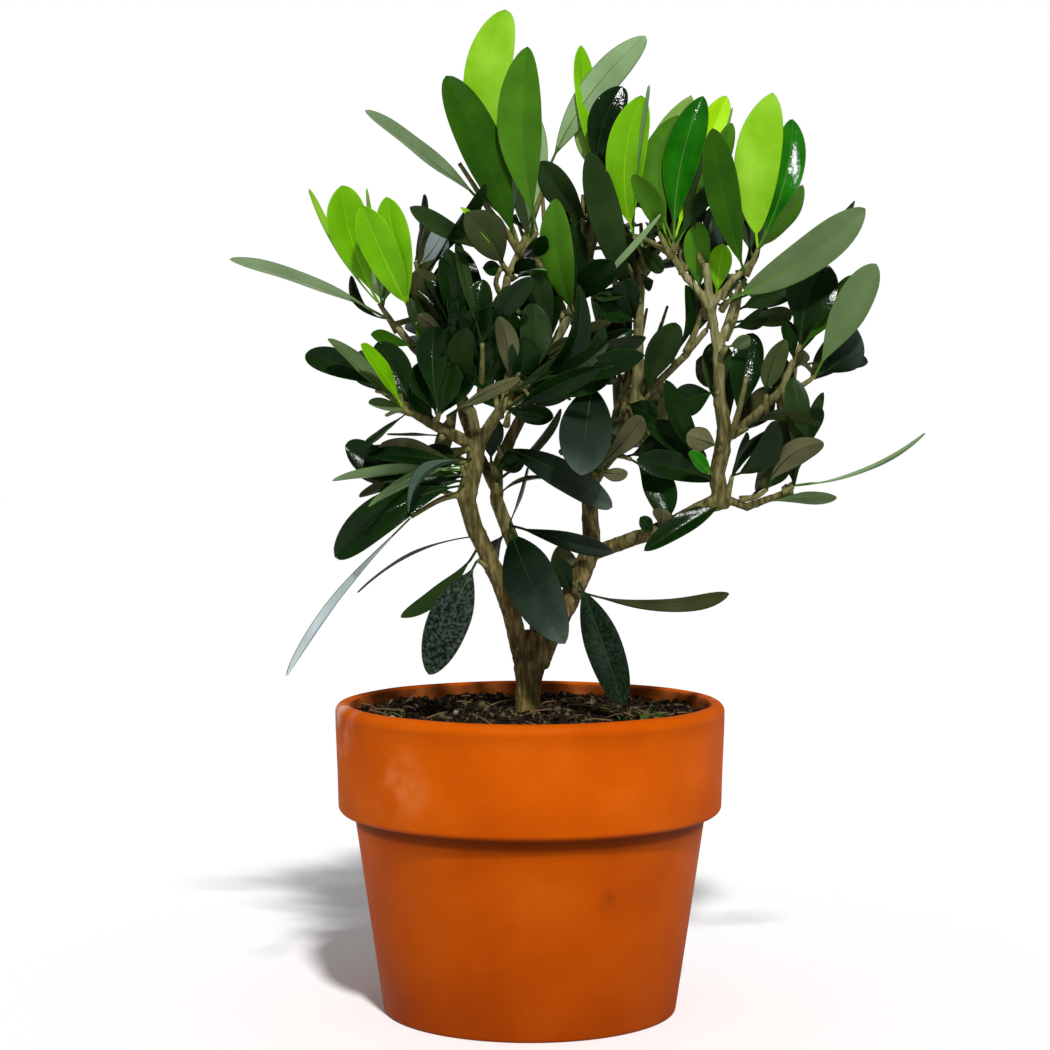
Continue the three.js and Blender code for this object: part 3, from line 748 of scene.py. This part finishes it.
def grow_back(name, count, place, tints):
    """Leafy twigs that fan out from one place into a mass of the back."""
    rng, mass, start = random.Random(name), mass_tree(name), Vector(place)
    low, high = box(name)
    middle, half = (low + high) / 2, (high - low) / 2
    for i in range(count):
        angle = i * 2.4 + rng.uniform(-0.3, 0.3)
        spread = 0.25 + 0.55 * math.sqrt((i + 0.5) / count)
        x, z = half.x * math.cos(angle) * spread, half.z * math.sin(angle) * spread
        run = middle + Vector((x, half.y * 0.45, z)) - start
        branch(rng, start, run.normalized(), run.length * 0.75, tints, mass)


for rule, table in ((grow_filling, FILLED), (grow_depth, DEEP), (grow_back, BACK)):
    for part, settings in table.items():
        rule("foliage_" + part, *settings)

# ---- The wood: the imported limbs, grown together, with the bark's relief ----
STUB_SCAR = Vector((4.5, -6, 141))  # a dark pit on the sawn stub between the stems
SWELL = 0.2  # of the limbs, so that they meet
VOXEL = 0.5


def bark_lift(point):
    """The bark's relief: long ridges on the old wood, finer ones on the young, and rings at the nodes."""
    age = max(0.0, min(1.0, (200 - point.z) / 90))  # 1 at the foot, and 0 from 200 up
    ridges = noise.fractal(Vector((point.x * 0.55, point.y * 0.55, point.z * 0.16)), 1, 2, 4)
    grain = noise.fractal(point * 0.9, 0.8, 2, 3)
    wander = 9 * noise.noise(Vector((point.x * 0.07, point.y * 0.07, 0)))
    ring = math.exp(-(((point.z + wander) % 16 - 8) / 1.1) ** 2) if point.z > 150 else 0
    scar = math.exp(-((point - STUB_SCAR).length / 1.3) ** 2)
    return mix(0.08, 0.42, age) * ridges + mix(0.05, 0.16, age) * grain + 0.22 * ring - 1.1 * scar


def make_wood():
    soup = Soup()
    for name in LIMBS:
        mesh = node(name).data
        points = [(v.co + v.normal * SWELL * MM) / MM for v in mesh.vertices]
        soup.add(points, [tuple(p.vertices) for p in mesh.polygons], "bark")
    made = soup.piece("wood", "bark", LIMBS)
    remesh = made.modifiers.new("grown together", "REMESH")
    remesh.mode = "VOXEL"
    remesh.voxel_size = VOXEL * MM
    even = made.modifiers.new("even", "SMOOTH")
    even.factor, even.iterations = 0.5, 6
    done = bpy.data.meshes.new_from_object(made.evaluated_get(bpy.context.evaluated_depsgraph_get()))
    made.modifiers.clear()
    made.data = done
    for vertex, normal in [(v, v.normal.copy()) for v in done.vertices]:
        vertex.co += normal * bark_lift(vertex.co / MM) * MM
    done.polygons.foreach_set("use_smooth", [True] * len(done.polygons))
    done.materials.clear()
    done.materials.append(FINISHES["bark"])


# ---- The pot ----
POT_LO, POT_HI = box("pot")
POT_TOP = POT_HI.z
RIM = (POT_HI.x - POT_LO.x) / 2
FOOT = 56.7  # the radius at the foot
NECK = 67.2  # the radius under the collar
POT_FLOOR = 8
POT_AROUND = 160
POT_UNEVEN = 0.0022  # how far from round, out of 1


def round_edge(x, z, radius, start, end, count):
    """Points on a round stretch of a profile, between two angles in degrees."""
    turns = [math.radians(mix(start, end, i / (count - 1))) for i in range(count)]
    return [(x + radius * math.cos(t), z + radius * math.sin(t)) for t in turns]


def lathe(profile, around, uneven):
    """A closed solid turned about the vertical axis from a profile that starts and ends on it."""
    points = []
    for radius, z in profile[1:-1]:
        for k in range(around):
            turn = FULL_TURN * k / around
            spot = Vector((radius * math.cos(turn), radius * math.sin(turn), z))
            if z > 1:
                spot *= 1 + uneven * noise.noise(spot * 0.03)
            points.append(spot)
    rows = len(profile) - 2
    faces = rings_to_faces(rows, around, closed=False)
    points += [Vector((0, 0, profile[0][1])), Vector((0, 0, profile[-1][1]))]
    start, end = len(points) - 2, len(points) - 1
    for k in range(around):
        j = (k + 1) % around
        faces.append((start, j, k))
        faces.append((end, (rows - 1) * around + k, (rows - 1) * around + j))
    return points, faces


def pot_profile():
    """Radius and height, from under the foot up the outside, over the lip and down to the inner floor."""
    return [
        (0, 0.0),
        (FOOT - 2.5, 0.0),
        *round_edge(FOOT - 1.6, 1.6, 1.6, -85, -5, 5),
        (mix(FOOT, NECK, 0.5), 37),
        (NECK + 0.2, 74.6),
        *round_edge(69.0, 75.2, 1.2, 180, 100, 4),
        (70.0, 76.6),
        *round_edge(71.0, 79.6, 2.8, -85, -8, 7),
        (RIM - 0.9, 92),
        (RIM - 0.1, 110),
        *round_edge(RIM - 3.2, POT_TOP - 3.3, 3.2, 0, 90, 8),
        (RIM - 4.6, POT_TOP - 0.2),
        (RIM - 5.4, POT_TOP - 1.0),
        (RIM - 6.0, POT_TOP - 2.6),
        (RIM - 6.3, 100),
        (62, 72),
        (50, POT_FLOOR + 2),
        (47, POT_FLOOR),
        (0, POT_FLOOR),
    ]


def make_pot():
    soup, profile = Soup(), pot_profile()
    lip_row = max(range(len(profile)), key=lambda row: profile[row][1])
    points, faces = lathe(profile, POT_AROUND, POT_UNEVEN)
    # Below the lip, the pot's inside takes a darker finish as painted shade.
    looks = ["stained" if min(face) // POT_AROUND > lip_row else "clay" for face in faces]
    soup.add(points, faces, looks)
    soup.piece("clay_pot", "terracotta", ["pot"])


# ---- The soil: lumps, crumbs, bits of twig and seedlings ----
SOIL_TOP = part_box("soil")[1].z / MM
SOIL_RADIUS = RIM - 6.6
SOIL_FLOOR = 104  # where its flat underside is
SOIL_RINGS, SOIL_AROUND = 60, 150
CRUMBS = 2600
CRUMBS_PER_GRIT = 90
STRAWS = 46
STRAW_REACH = 62  # from the middle of the pot
SEEDLINGS = [  # x, y, how many blades, how high
    (42, -30, 7, 7), (48, -28, 5, 6), (36, -22, 4, 5), (31, -8, 3, 9), (-46, -22, 2, 4),
]  # fmt: skip


def on_soil(x, y, above=0.0):
    """The point over (x, y) on the soil's uneven top, or so far above it."""
    rough = noise.fractal(Vector((x * 0.09, y * 0.09, 3)), 0.9, 2.1, 5)
    edge = max(0.0, (math.hypot(x, y) - 52) / 16)
    return Vector((x, y, SOIL_TOP - 3.4 + 1.3 * rough - 0.6 * edge + above))


def crumb(soup, rng, place, size, look):
    """A small lump with eight uneven corners."""
    spin = Matrix.Rotation(rng.uniform(0, 3), 3, (rng.random(), rng.random(), 0.3))
    ends = (-0.5, 0.5)
    corners = [Vector((x, y, z)) for x in ends for y in ends for z in ends]
    corners = [place + spin @ corner * size * rng.uniform(0.55, 1.0) for corner in corners]
    sides = [(0, 1, 3, 2), (4, 6, 7, 5), (0, 4, 5, 1), (2, 3, 7, 6), (0, 2, 6, 4), (1, 5, 7, 3)]
    soup.add(corners, sides, look)


def make_ground(soup):
    """The soil itself: a closed disc with an uneven top."""
    around, last = SOIL_AROUND, (SOIL_RINGS - 1) * SOIL_AROUND
    points = []
    for ring in range(1, SOIL_RINGS + 1):
        radius = SOIL_RADIUS * ring / SOIL_RINGS
        for k in range(around):
            turn = FULL_TURN * k / around
            points.append(on_soil(radius * math.cos(turn), radius * math.sin(turn)))
    centre, low = len(points), len(points) + 1
    rim = [Vector((p.x, p.y, SOIL_FLOOR)) for p in points[last:]]
    points += [on_soil(0, 0), *rim]
    faces = rings_to_faces(SOIL_RINGS, around, closed=False)
    faces += [(centre, k, (k + 1) % around) for k in range(around)]
    for k in range(around):
        j = (k + 1) % around
        faces.append((last + k, low + k, low + j, last + j))
    faces.append(tuple(range(low + around - 1, low - 1, -1)))
    soup.add(points, faces, "earth")


def make_soil():
    soup, rng = Soup(), random.Random(5)
    make_ground(soup)
    for i in range(CRUMBS):
        turn, radius = rng.uniform(0, FULL_TURN), (SOIL_RADIUS - 1) * math.sqrt(rng.random())
        size = 0.7 + 2.2 * rng.random() ** 4
        mossy = rng.random() < 0.5 * math.exp(-((radius / 24) ** 2)) + 0.04
        look = "grit" if i % CRUMBS_PER_GRIT == 0 else "crumb_moss" if mossy else "earth"
        crumb(soup, rng, on_soil(radius * math.cos(turn), radius * math.sin(turn), 0.2 * size), size, look)
    for _ in range(STRAWS):
        turn, radius = rng.uniform(0, FULL_TURN), STRAW_REACH * math.sqrt(rng.random())
        start = on_soil(radius * math.cos(turn), radius * math.sin(turn), 0.5)
        way = Matrix.Rotation(rng.uniform(0, 6.3), 3, "Z") @ Vector((1, 0, rng.uniform(-0.05, 0.4)))
        end = start + way.normalized() * rng.uniform(4, 13)
        bend = (start + end) / 2 + Vector((rng.uniform(-1, 1), rng.uniform(-1, 1), 0.6))
        tube(soup, smooth_path([start, bend, end], 2), (0.4, 0.22), 5, "straw")
    for x, y, blades, high in SEEDLINGS:
        for _ in range(blades):
            base = on_soil(x + rng.gauss(0, 1.2), y + rng.gauss(0, 1.2), -0.3)
            tip = base + Vector((rng.gauss(0, 5), rng.gauss(0, 2.5), high * rng.uniform(0.5, 1)))
            bend = (base + tip) / 2 + UP * 1.6
            tube(soup, smooth_path([base, bend, tip], 1), (0.3, 0.1), 5, "seedling")
    soup.piece("soil_top", "compost", ["soil"])


# ---- Finishes ----
def rgba(colour):
    """A colour that covers fully; a plain number is a grey."""
    return (*colour, 1) if isinstance(colour, tuple) else (colour, colour, colour, 1)


class Finish:
    """A material that is built up layer by layer on one surface."""

    def __init__(self, name, roughness=0.5, gloss=0.5):
        self.material = bpy.data.materials.new(name)
        self.material.use_nodes = True
        self.surface = self.material.node_tree.nodes["Principled BSDF"]
        self.feed(self.surface, {"Roughness": roughness, "Specular IOR Level": gloss})
        self.place = self.add("TexCoord", "Object")

    def feed(self, shader_node, inputs):
        """Links inputs to the outputs given for them, or else sets them to the values."""
        for name, source in inputs.items():
            if isinstance(source, bpy.types.NodeSocket):
                self.material.node_tree.links.new(source, shader_node.inputs[name])
            else:
                shader_node.inputs[name].default_value = source

    def add(self, kind, output, inputs=(), **settings):
        """One output of a new node."""
        made = self.material.node_tree.nodes.new("ShaderNode" + kind)
        for name, value in settings.items():
            setattr(made, name, value)
        self.feed(made, dict(inputs))
        return made.outputs[output]

    def noise(self, scale, detail, stretch=(1, 1, 1)):
        squeezed = self.add("Mapping", "Vector", {"Vector": self.place, "Scale": stretch})
        return self.add("TexNoise", "Fac", {"Vector": squeezed, "Scale": scale, "Detail": detail})

    def ramp(self, source, *stops):
        """A colour ramp of (place, colour) stops."""
        made = self.add("ValToRGB", "Color", {"Fac": source})
        ends = made.node.color_ramp.elements
        for end, (place, colour) in zip(ends, (stops[0], stops[-1])):
            end.position, end.color = place, rgba(colour)
        for place, colour in stops[1:-1]:
            ends.new(place).color = rgba(colour)
        return made

    def height(self, start, end):
        """The share of the way up from one height to another."""
        up = self.add("SeparateXYZ", "Z", {"Vector": self.place})
        return self.add("MapRange", "Result", {"Value": up, "From Min": start * MM, "From Max": end * MM})

    def blend(self, share, a, b, **settings):
        return self.add("Mix", "Result", {"Factor": share, "A": a, "B": b}, data_type="RGBA", **settings)

    def paint(self, colour):
        self.colour = colour
        self.feed(self.surface, {"Base Color": colour})

    def paint_shade(self, *stops):
        """Darkens the colour by height, as painted shade."""
        low, high = stops[0][0], stops[-1][0]
        tone = self.ramp(self.height(low, high), *[((z - low) / (high - low), share) for z, share in stops])
        self.paint(self.blend(1, self.colour, tone, blend_type="MULTIPLY"))

    def stain(self, centre, radius, colour, strength, grain=110):
        """An uneven stain of another colour round a point."""
        spot = Vector(centre) * MM
        away = self.add("VectorMath", "Value", {0: self.place, 1: spot}, operation="DISTANCE")
        fade = {"Value": away, "From Max": radius * MM, "To Min": strength, "To Max": 0}
        cover = self.ramp(self.noise(grain, 8), (0.4, 0), (0.62, 1))
        parts = {0: self.add("MapRange", "Result", fade), 1: cover}
        share = self.add("Math", "Value", parts, operation="MULTIPLY")
        self.paint(self.blend(share, self.colour, rgba(colour)))

    def bump(self, source, depth, strength):
        """Relief on top of the relief that is there."""
        inputs = {"Height": source, "Distance": depth * MM, "Strength": strength}
        for link in self.surface.inputs["Normal"].links:
            inputs["Normal"] = link.from_socket
        self.feed(self.surface, {"Normal": self.add("Bump", "Normal", inputs)})


# Each look of a leaf: its colour, its darker shade, its roughness and its gloss, and where they aren't as
# usual the strength of its fine bumps and its dust.
LEAF_LOOKS = {
    "glossy": ((0.0055, 0.022, 0.0025), (0.0025, 0.011, 0.0015), 0.1, 0.13, 0.9),
    "olive": ((0.055, 0.075, 0.024), (0.036, 0.052, 0.014), 0.5, 0.06),
    "deep": ((0.0055, 0.022, 0.0025), (0.0025, 0.011, 0.0015), 0.18, 0.085, 0.6),
    "mid": ((0.062, 0.19, 0.008), (0.042, 0.135, 0.006), 0.4, 0.06),
    "moss": ((0.024, 0.088, 0.002), (0.015, 0.06, 0.002), 0.4, 0.05),
    "dusk": ((0.018, 0.04, 0.008), (0.01, 0.026, 0.005), 0.35, 0.06),
    "dusty": ((0.005, 0.014, 0.005), (0.002, 0.008, 0.002), 0.4, 0.02, 0.5, 0.6),
    "spotted": ((0.004, 0.013, 0.004), (0.002, 0.008, 0.002), 0.4, 0.02, 0.5, 0.15),
    "grey": ((0.1, 0.155, 0.06), (0.075, 0.12, 0.044), 0.5, 0.08),
    "ash": ((0.075, 0.12, 0.09), (0.05, 0.085, 0.06), 0.45, 0.06),
    # A silvery underside, brightened beyond its own colour as painted light.
    "silver": ((0.6, 0.7, 0.74), (0.48, 0.58, 0.6), 0.55, 0.1, 0.3),
    "vivid": ((0.012, 0.15, 0.001), (0.003, 0.08, 0.001), 0.1, 0.14, 0.8),
    "under": ((0.25, 0.38, 0.18), (0.19, 0.3, 0.13), 0.6, 0.15),
    "under_tan": ((0.12, 0.12, 0.055), (0.08, 0.085, 0.036), 0.6, 0.1),
    # Partly an old leaf's underside, partly painted shade.
    "under_old": ((0.044, 0.047, 0.013), (0.028, 0.031, 0.008), 0.6, 0.08),
    # A black underside: painted shade.
    "under_dark": ((0.012, 0.018, 0.006), (0.007, 0.012, 0.005), 0.6, 0.12),
    "rib": ((0.014, 0.036, 0.006), (0.008, 0.022, 0.004), 0.4, 0.08),
    "rib_moss": ((0.03, 0.105, 0.004), (0.02, 0.075, 0.003), 0.4, 0.06),
    "rib_pale": ((0.085, 0.19, 0.022), (0.06, 0.14, 0.014), 0.5, 0.08),
    # The young leaves' looks are brightened beyond their own green as painted backlight.
    "bright": ((0.15, 0.42, 0.001), (0.11, 0.32, 0.001), 0.35, 0.1),
    "lime": ((0.27, 0.55, 0.03), (0.19, 0.44, 0.008), 0.45, 0.08),
    "neon": ((0.4, 0.75, 0.002), (0.32, 0.65, 0.001), 0.45, 0.12),
    "under_young": ((0.28, 0.44, 0.1), (0.2, 0.35, 0.06), 0.55, 0.15),
    "rib_young": ((0.26, 0.55, 0.01), (0.19, 0.45, 0.006), 0.45, 0.1),
}
# A painted sheen: grey that grows from the stalk to the tip.
SHEEN_STALK = (0.002, 0.009, 0.002), (0.001, 0.005, 0.001)
SHEEN_TIP = (0.075, 0.105, 0.08), (0.04, 0.06, 0.045)
for step, look in enumerate(SHEEN_STEPS):
    share = (step / (ROWS - 1)) ** 2.6
    colour, shade = (tuple(mix(a, b, share) for a, b in zip(*ends)) for ends in zip(SHEEN_STALK, SHEEN_TIP))
    LEAF_LOOKS[look] = (colour, shade, 0.35, mix(0.005, 0.04, share), 0.5)
DUST = (0.17, 0.2, 0.18)
BARK_TONES = (  # from the foot to the top, each from its cracks to its ridges
    ((0.04, 0.024, 0.006), (0.15, 0.1, 0.032), (0.34, 0.25, 0.11)),
    ((0.03, 0.024, 0.006), (0.085, 0.072, 0.02), (0.21, 0.18, 0.075)),
    ((0.1, 0.09, 0.03), (0.2, 0.19, 0.075), (0.33, 0.32, 0.17)),
)
CLAY_TONES = (  # of the collar, and of the foot
    ((0.45, 0.064, 0.0), (0.52, 0.082, 0.0), (0.6, 0.11, 0.004)),
    # The foot's tones are darker as painted shade.
    ((0.25, 0.034, 0.0), (0.29, 0.041, 0.0), (0.34, 0.053, 0.001)),
)
# The lip's paler colour at its left and right is partly wear, partly a painted sheen.
CLAY_GLOSS, WORN_AND_SHEEN_CLAY = 0.03, (0.72, 0.4, 0.3)
TWIG_TONES = (0.3, (0.07, 0.065, 0.018)), (0.7, (0.21, 0.2, 0.065))
# The pot's inside is darker as painted shade.
INNER_SHADE_TONES = (0.3, (0.1, 0.022, 0.003)), (0.5, (0.22, 0.05, 0.008)), (0.75, (0.4, 0.11, 0.025))
EARTH_TONES = (0.38, (0.003, 0.0018, 0.001)), (0.52, (0.014, 0.008, 0.0035)), (0.7, (0.1, 0.058, 0.024))
SOIL_BITS = {
    "grit": (0.3, 0.28, 0.25), "straw": (0.2, 0.11, 0.045), "seedling": (0.1, 0.19, 0.02),
    "crumb_moss": (0.1, 0.085, 0.022),
}  # fmt: skip


def leaf_finish(name, colour, shade, roughness, gloss, glints=0.4, dust=0):
    """A waxy leaf: two near shades of one green, a fine uneven skin, and dust where the leaf is old."""
    made = Finish("leaf_" + name, roughness, gloss)
    made.paint(made.ramp(made.noise(70, 5), (0.35, shade), (0.65, colour)))
    if dust:
        cover = made.ramp(made.noise(800, 14), (0.42, 0), (0.95, dust))
        made.paint(made.blend(cover, made.colour, rgba(DUST)))
    made.bump(made.noise(230, 2), 0.5, 0.35)
    made.bump(made.noise(1000, 3), 0.12, glints)
    return made.material


def bark_finish():
    """Brown at the foot, grey olive in the middle, pale at the top, and stained at the foot of the trunk."""
    made = Finish("bark", 0.8, 0.15)
    streaks = made.noise(620, 9, (1, 1, 0.22))
    old, middle, new = (made.ramp(streaks, *zip((0.3, 0.5, 0.72), tones)) for tones in BARK_TONES)
    made.paint(made.blend(made.height(150, 185), old, middle))
    made.paint(made.blend(made.height(222, 262), made.colour, new))
    made.stain((0, -3, 114), 22, (0.13, 0.12, 0.022), 0.85, 300)
    made.stain((2, -8, 138), 16, (0.02, 0.014, 0.005), 0.8, 200)
    made.bump(made.noise(1500, 5, (1, 1, 0.4)), 0.3, 0.8)
    return made.material


def clay_finish():
    """Terracotta, darker to the foot as painted shade, with painted shade under the lip and the collar's
    painted shadow, lip sides paler by wear and a painted sheen, and worn and dirty spots.
    """
    made = Finish("terracotta", gloss=CLAY_GLOSS)
    mottle = made.noise(30, 8)
    upper, lower = (made.ramp(mottle, *zip((0.25, 0.5, 0.8), tones)) for tones in CLAY_TONES)
    # Darker towards the foot: painted shade.
    made.paint(made.blend(made.height(0, 95), lower, upper))
    # A darker band under the lip: painted shade.
    made.paint_shade((108.5, 1.0), (112.5, 0.9), (114.4, 0.84), (115.8, 1.0), (119.2, 1.0))
    # A dark band under the collar: the collar's painted shadow.
    made.paint_shade((67.5, 1.0), (71.4, 0.8), (73.0, 0.36), (75.5, 0.24), (77.2, 0.45), (78.5, 1.0))
    made.stain((-47, -55, 95), 16, (0.8, 0.36, 0.14), 0.35, 60)
    # Paler lip at the left and the right: partly wear, partly a painted sheen.
    made.stain((-73, -14, 118), 26, WORN_AND_SHEEN_CLAY, 1.0, 95)
    made.stain((74, 6, 118), 16, WORN_AND_SHEEN_CLAY, 0.7, 50)
    made.stain((28, -58, 52), 5, (0.12, 0.03, 0.004), 0.9)
    made.feed(made.surface, {"Roughness": made.ramp(made.noise(24, 5), (0.35, 0.5), (0.7, 0.7))})
    made.bump(made.noise(45, 3), 0.4, 0.3)
    made.bump(made.noise(900, 5), 0.12, 0.5)
    return made.material


def plain_finish(name, roughness, gloss, grain, tones, relief=None):
    """Tones by one noise (its scale and detail), and fine relief (its scale, detail, depth and strength)."""
    made = Finish(name, roughness, gloss)
    made.paint(made.ramp(made.noise(*grain), *tones))
    if relief:
        scale, detail, depth, strength = relief
        made.bump(made.noise(scale, detail), depth, strength)
    return made.material


FINISHES = {name: leaf_finish(name, *look) for name, look in LEAF_LOOKS.items()}
FINISHES["bark"] = bark_finish()
FINISHES["clay"] = clay_finish()
FINISHES["twig"] = plain_finish("twig_bark", 0.65, 0.15, (500, 6), TWIG_TONES, (1600, 4, 0.15, 0.7))
# The pot's inside, darker as painted shade.
FINISHES["stained"] = plain_finish(
    "inner_shade_terracotta", 0.8, CLAY_GLOSS, (90, 8), INNER_SHADE_TONES, (900, 5, 0.12, 0.5)
)
FINISHES["earth"] = plain_finish("soil", 0.95, 0.1, (330, 8), EARTH_TONES, (1300, 5, 0.5, 1.0))
for name, colour in SOIL_BITS.items():
    tones = (0.3, tuple(c * 0.6 for c in colour)), (0.7, colour)
    FINISHES[name] = plain_finish(name, 0.85, 0.5, (400, 3), tones)

# ---- The pieces ----
YOUNG_MASSES = ["foliage_top_left", "foliage_top_right", "foliage_upper_left"]
masses = {part: [] for part in mature}  # those that each piece of mature leaves replaces
for name in FOLIAGE:
    if name not in YOUNG_MASSES:
        low, high = box(name)
        masses[part_at((low.x + high.x) / 2)].append(name)
for part, soup in mature.items():
    soup.piece("leaves_mature_" + part, "mature_leaves", masses[part])
young.piece("leaves_young", "young_leaves", YOUNG_MASSES)
twigs.piece("twigs", "bark")
make_wood()
make_pot()
make_soil()

# ---- The floor, the light and the camera ----
FLOOR_HALF_M = 6
FLOOR_GREY = 0.985
SKY_LIGHT = 0.3


def make_floor():
    mesh = bpy.data.meshes.new("floor")
    corners = [(x * FLOOR_HALF_M, y * FLOOR_HALF_M, 0) for x, y in ((-1, -1), (1, -1), (1, 1), (-1, 1))]
    mesh.from_pydata(corners, [], [(0, 1, 2, 3)])
    plain = Finish("floor", 0.95, 0.1)
    plain.paint(rgba(FLOOR_GREY))
    mesh.materials.append(plain.material)
    add_object("floor", mesh)


def make_world():
    """White to the camera, and a weaker white light on the model."""
    world = bpy.data.worlds.new("studio")
    bpy.context.scene.world = world
    world.use_nodes = True
    nodes, links = world.node_tree.nodes, world.node_tree.links
    light, backdrop = nodes["Background"], nodes.new("ShaderNodeBackground")
    which, choose = nodes.new("ShaderNodeLightPath"), nodes.new("ShaderNodeMixShader")
    for shade in (light, backdrop):
        shade.inputs["Color"].default_value = rgba(1)
    light.inputs["Strength"].default_value = SKY_LIGHT
    links.new(which.outputs["Is Camera Ray"], choose.inputs["Fac"])
    links.new(light.outputs["Background"], choose.inputs[1])
    links.new(backdrop.outputs["Background"], choose.inputs[2])
    links.new(choose.outputs["Shader"], nodes["World Output"].inputs["Surface"])


def make_sun(name, way, width_degrees, strength):
    light = bpy.data.lights.new(name, "SUN")
    light.angle, light.energy = math.radians(width_degrees), strength
    add_object(name, light).rotation_euler = Vector(way).to_track_quat("-Z", "Y").to_euler()


def make_camera():
    data = bpy.data.cameras.new("camera")
    data.lens, data.sensor_width = LENS_MM, SENSOR_MM
    camera = add_object("camera", data)
    camera.location = EYE * MM
    camera.rotation_euler = (math.pi / 2 - TILT, 0, 0)
    bpy.context.scene.camera = camera


make_floor()
make_world()
make_sun("key", (-0.12, 0.62, -0.72), 5, 3.1)
make_camera()
bpy.context.scene.view_settings.view_transform = "Standard"
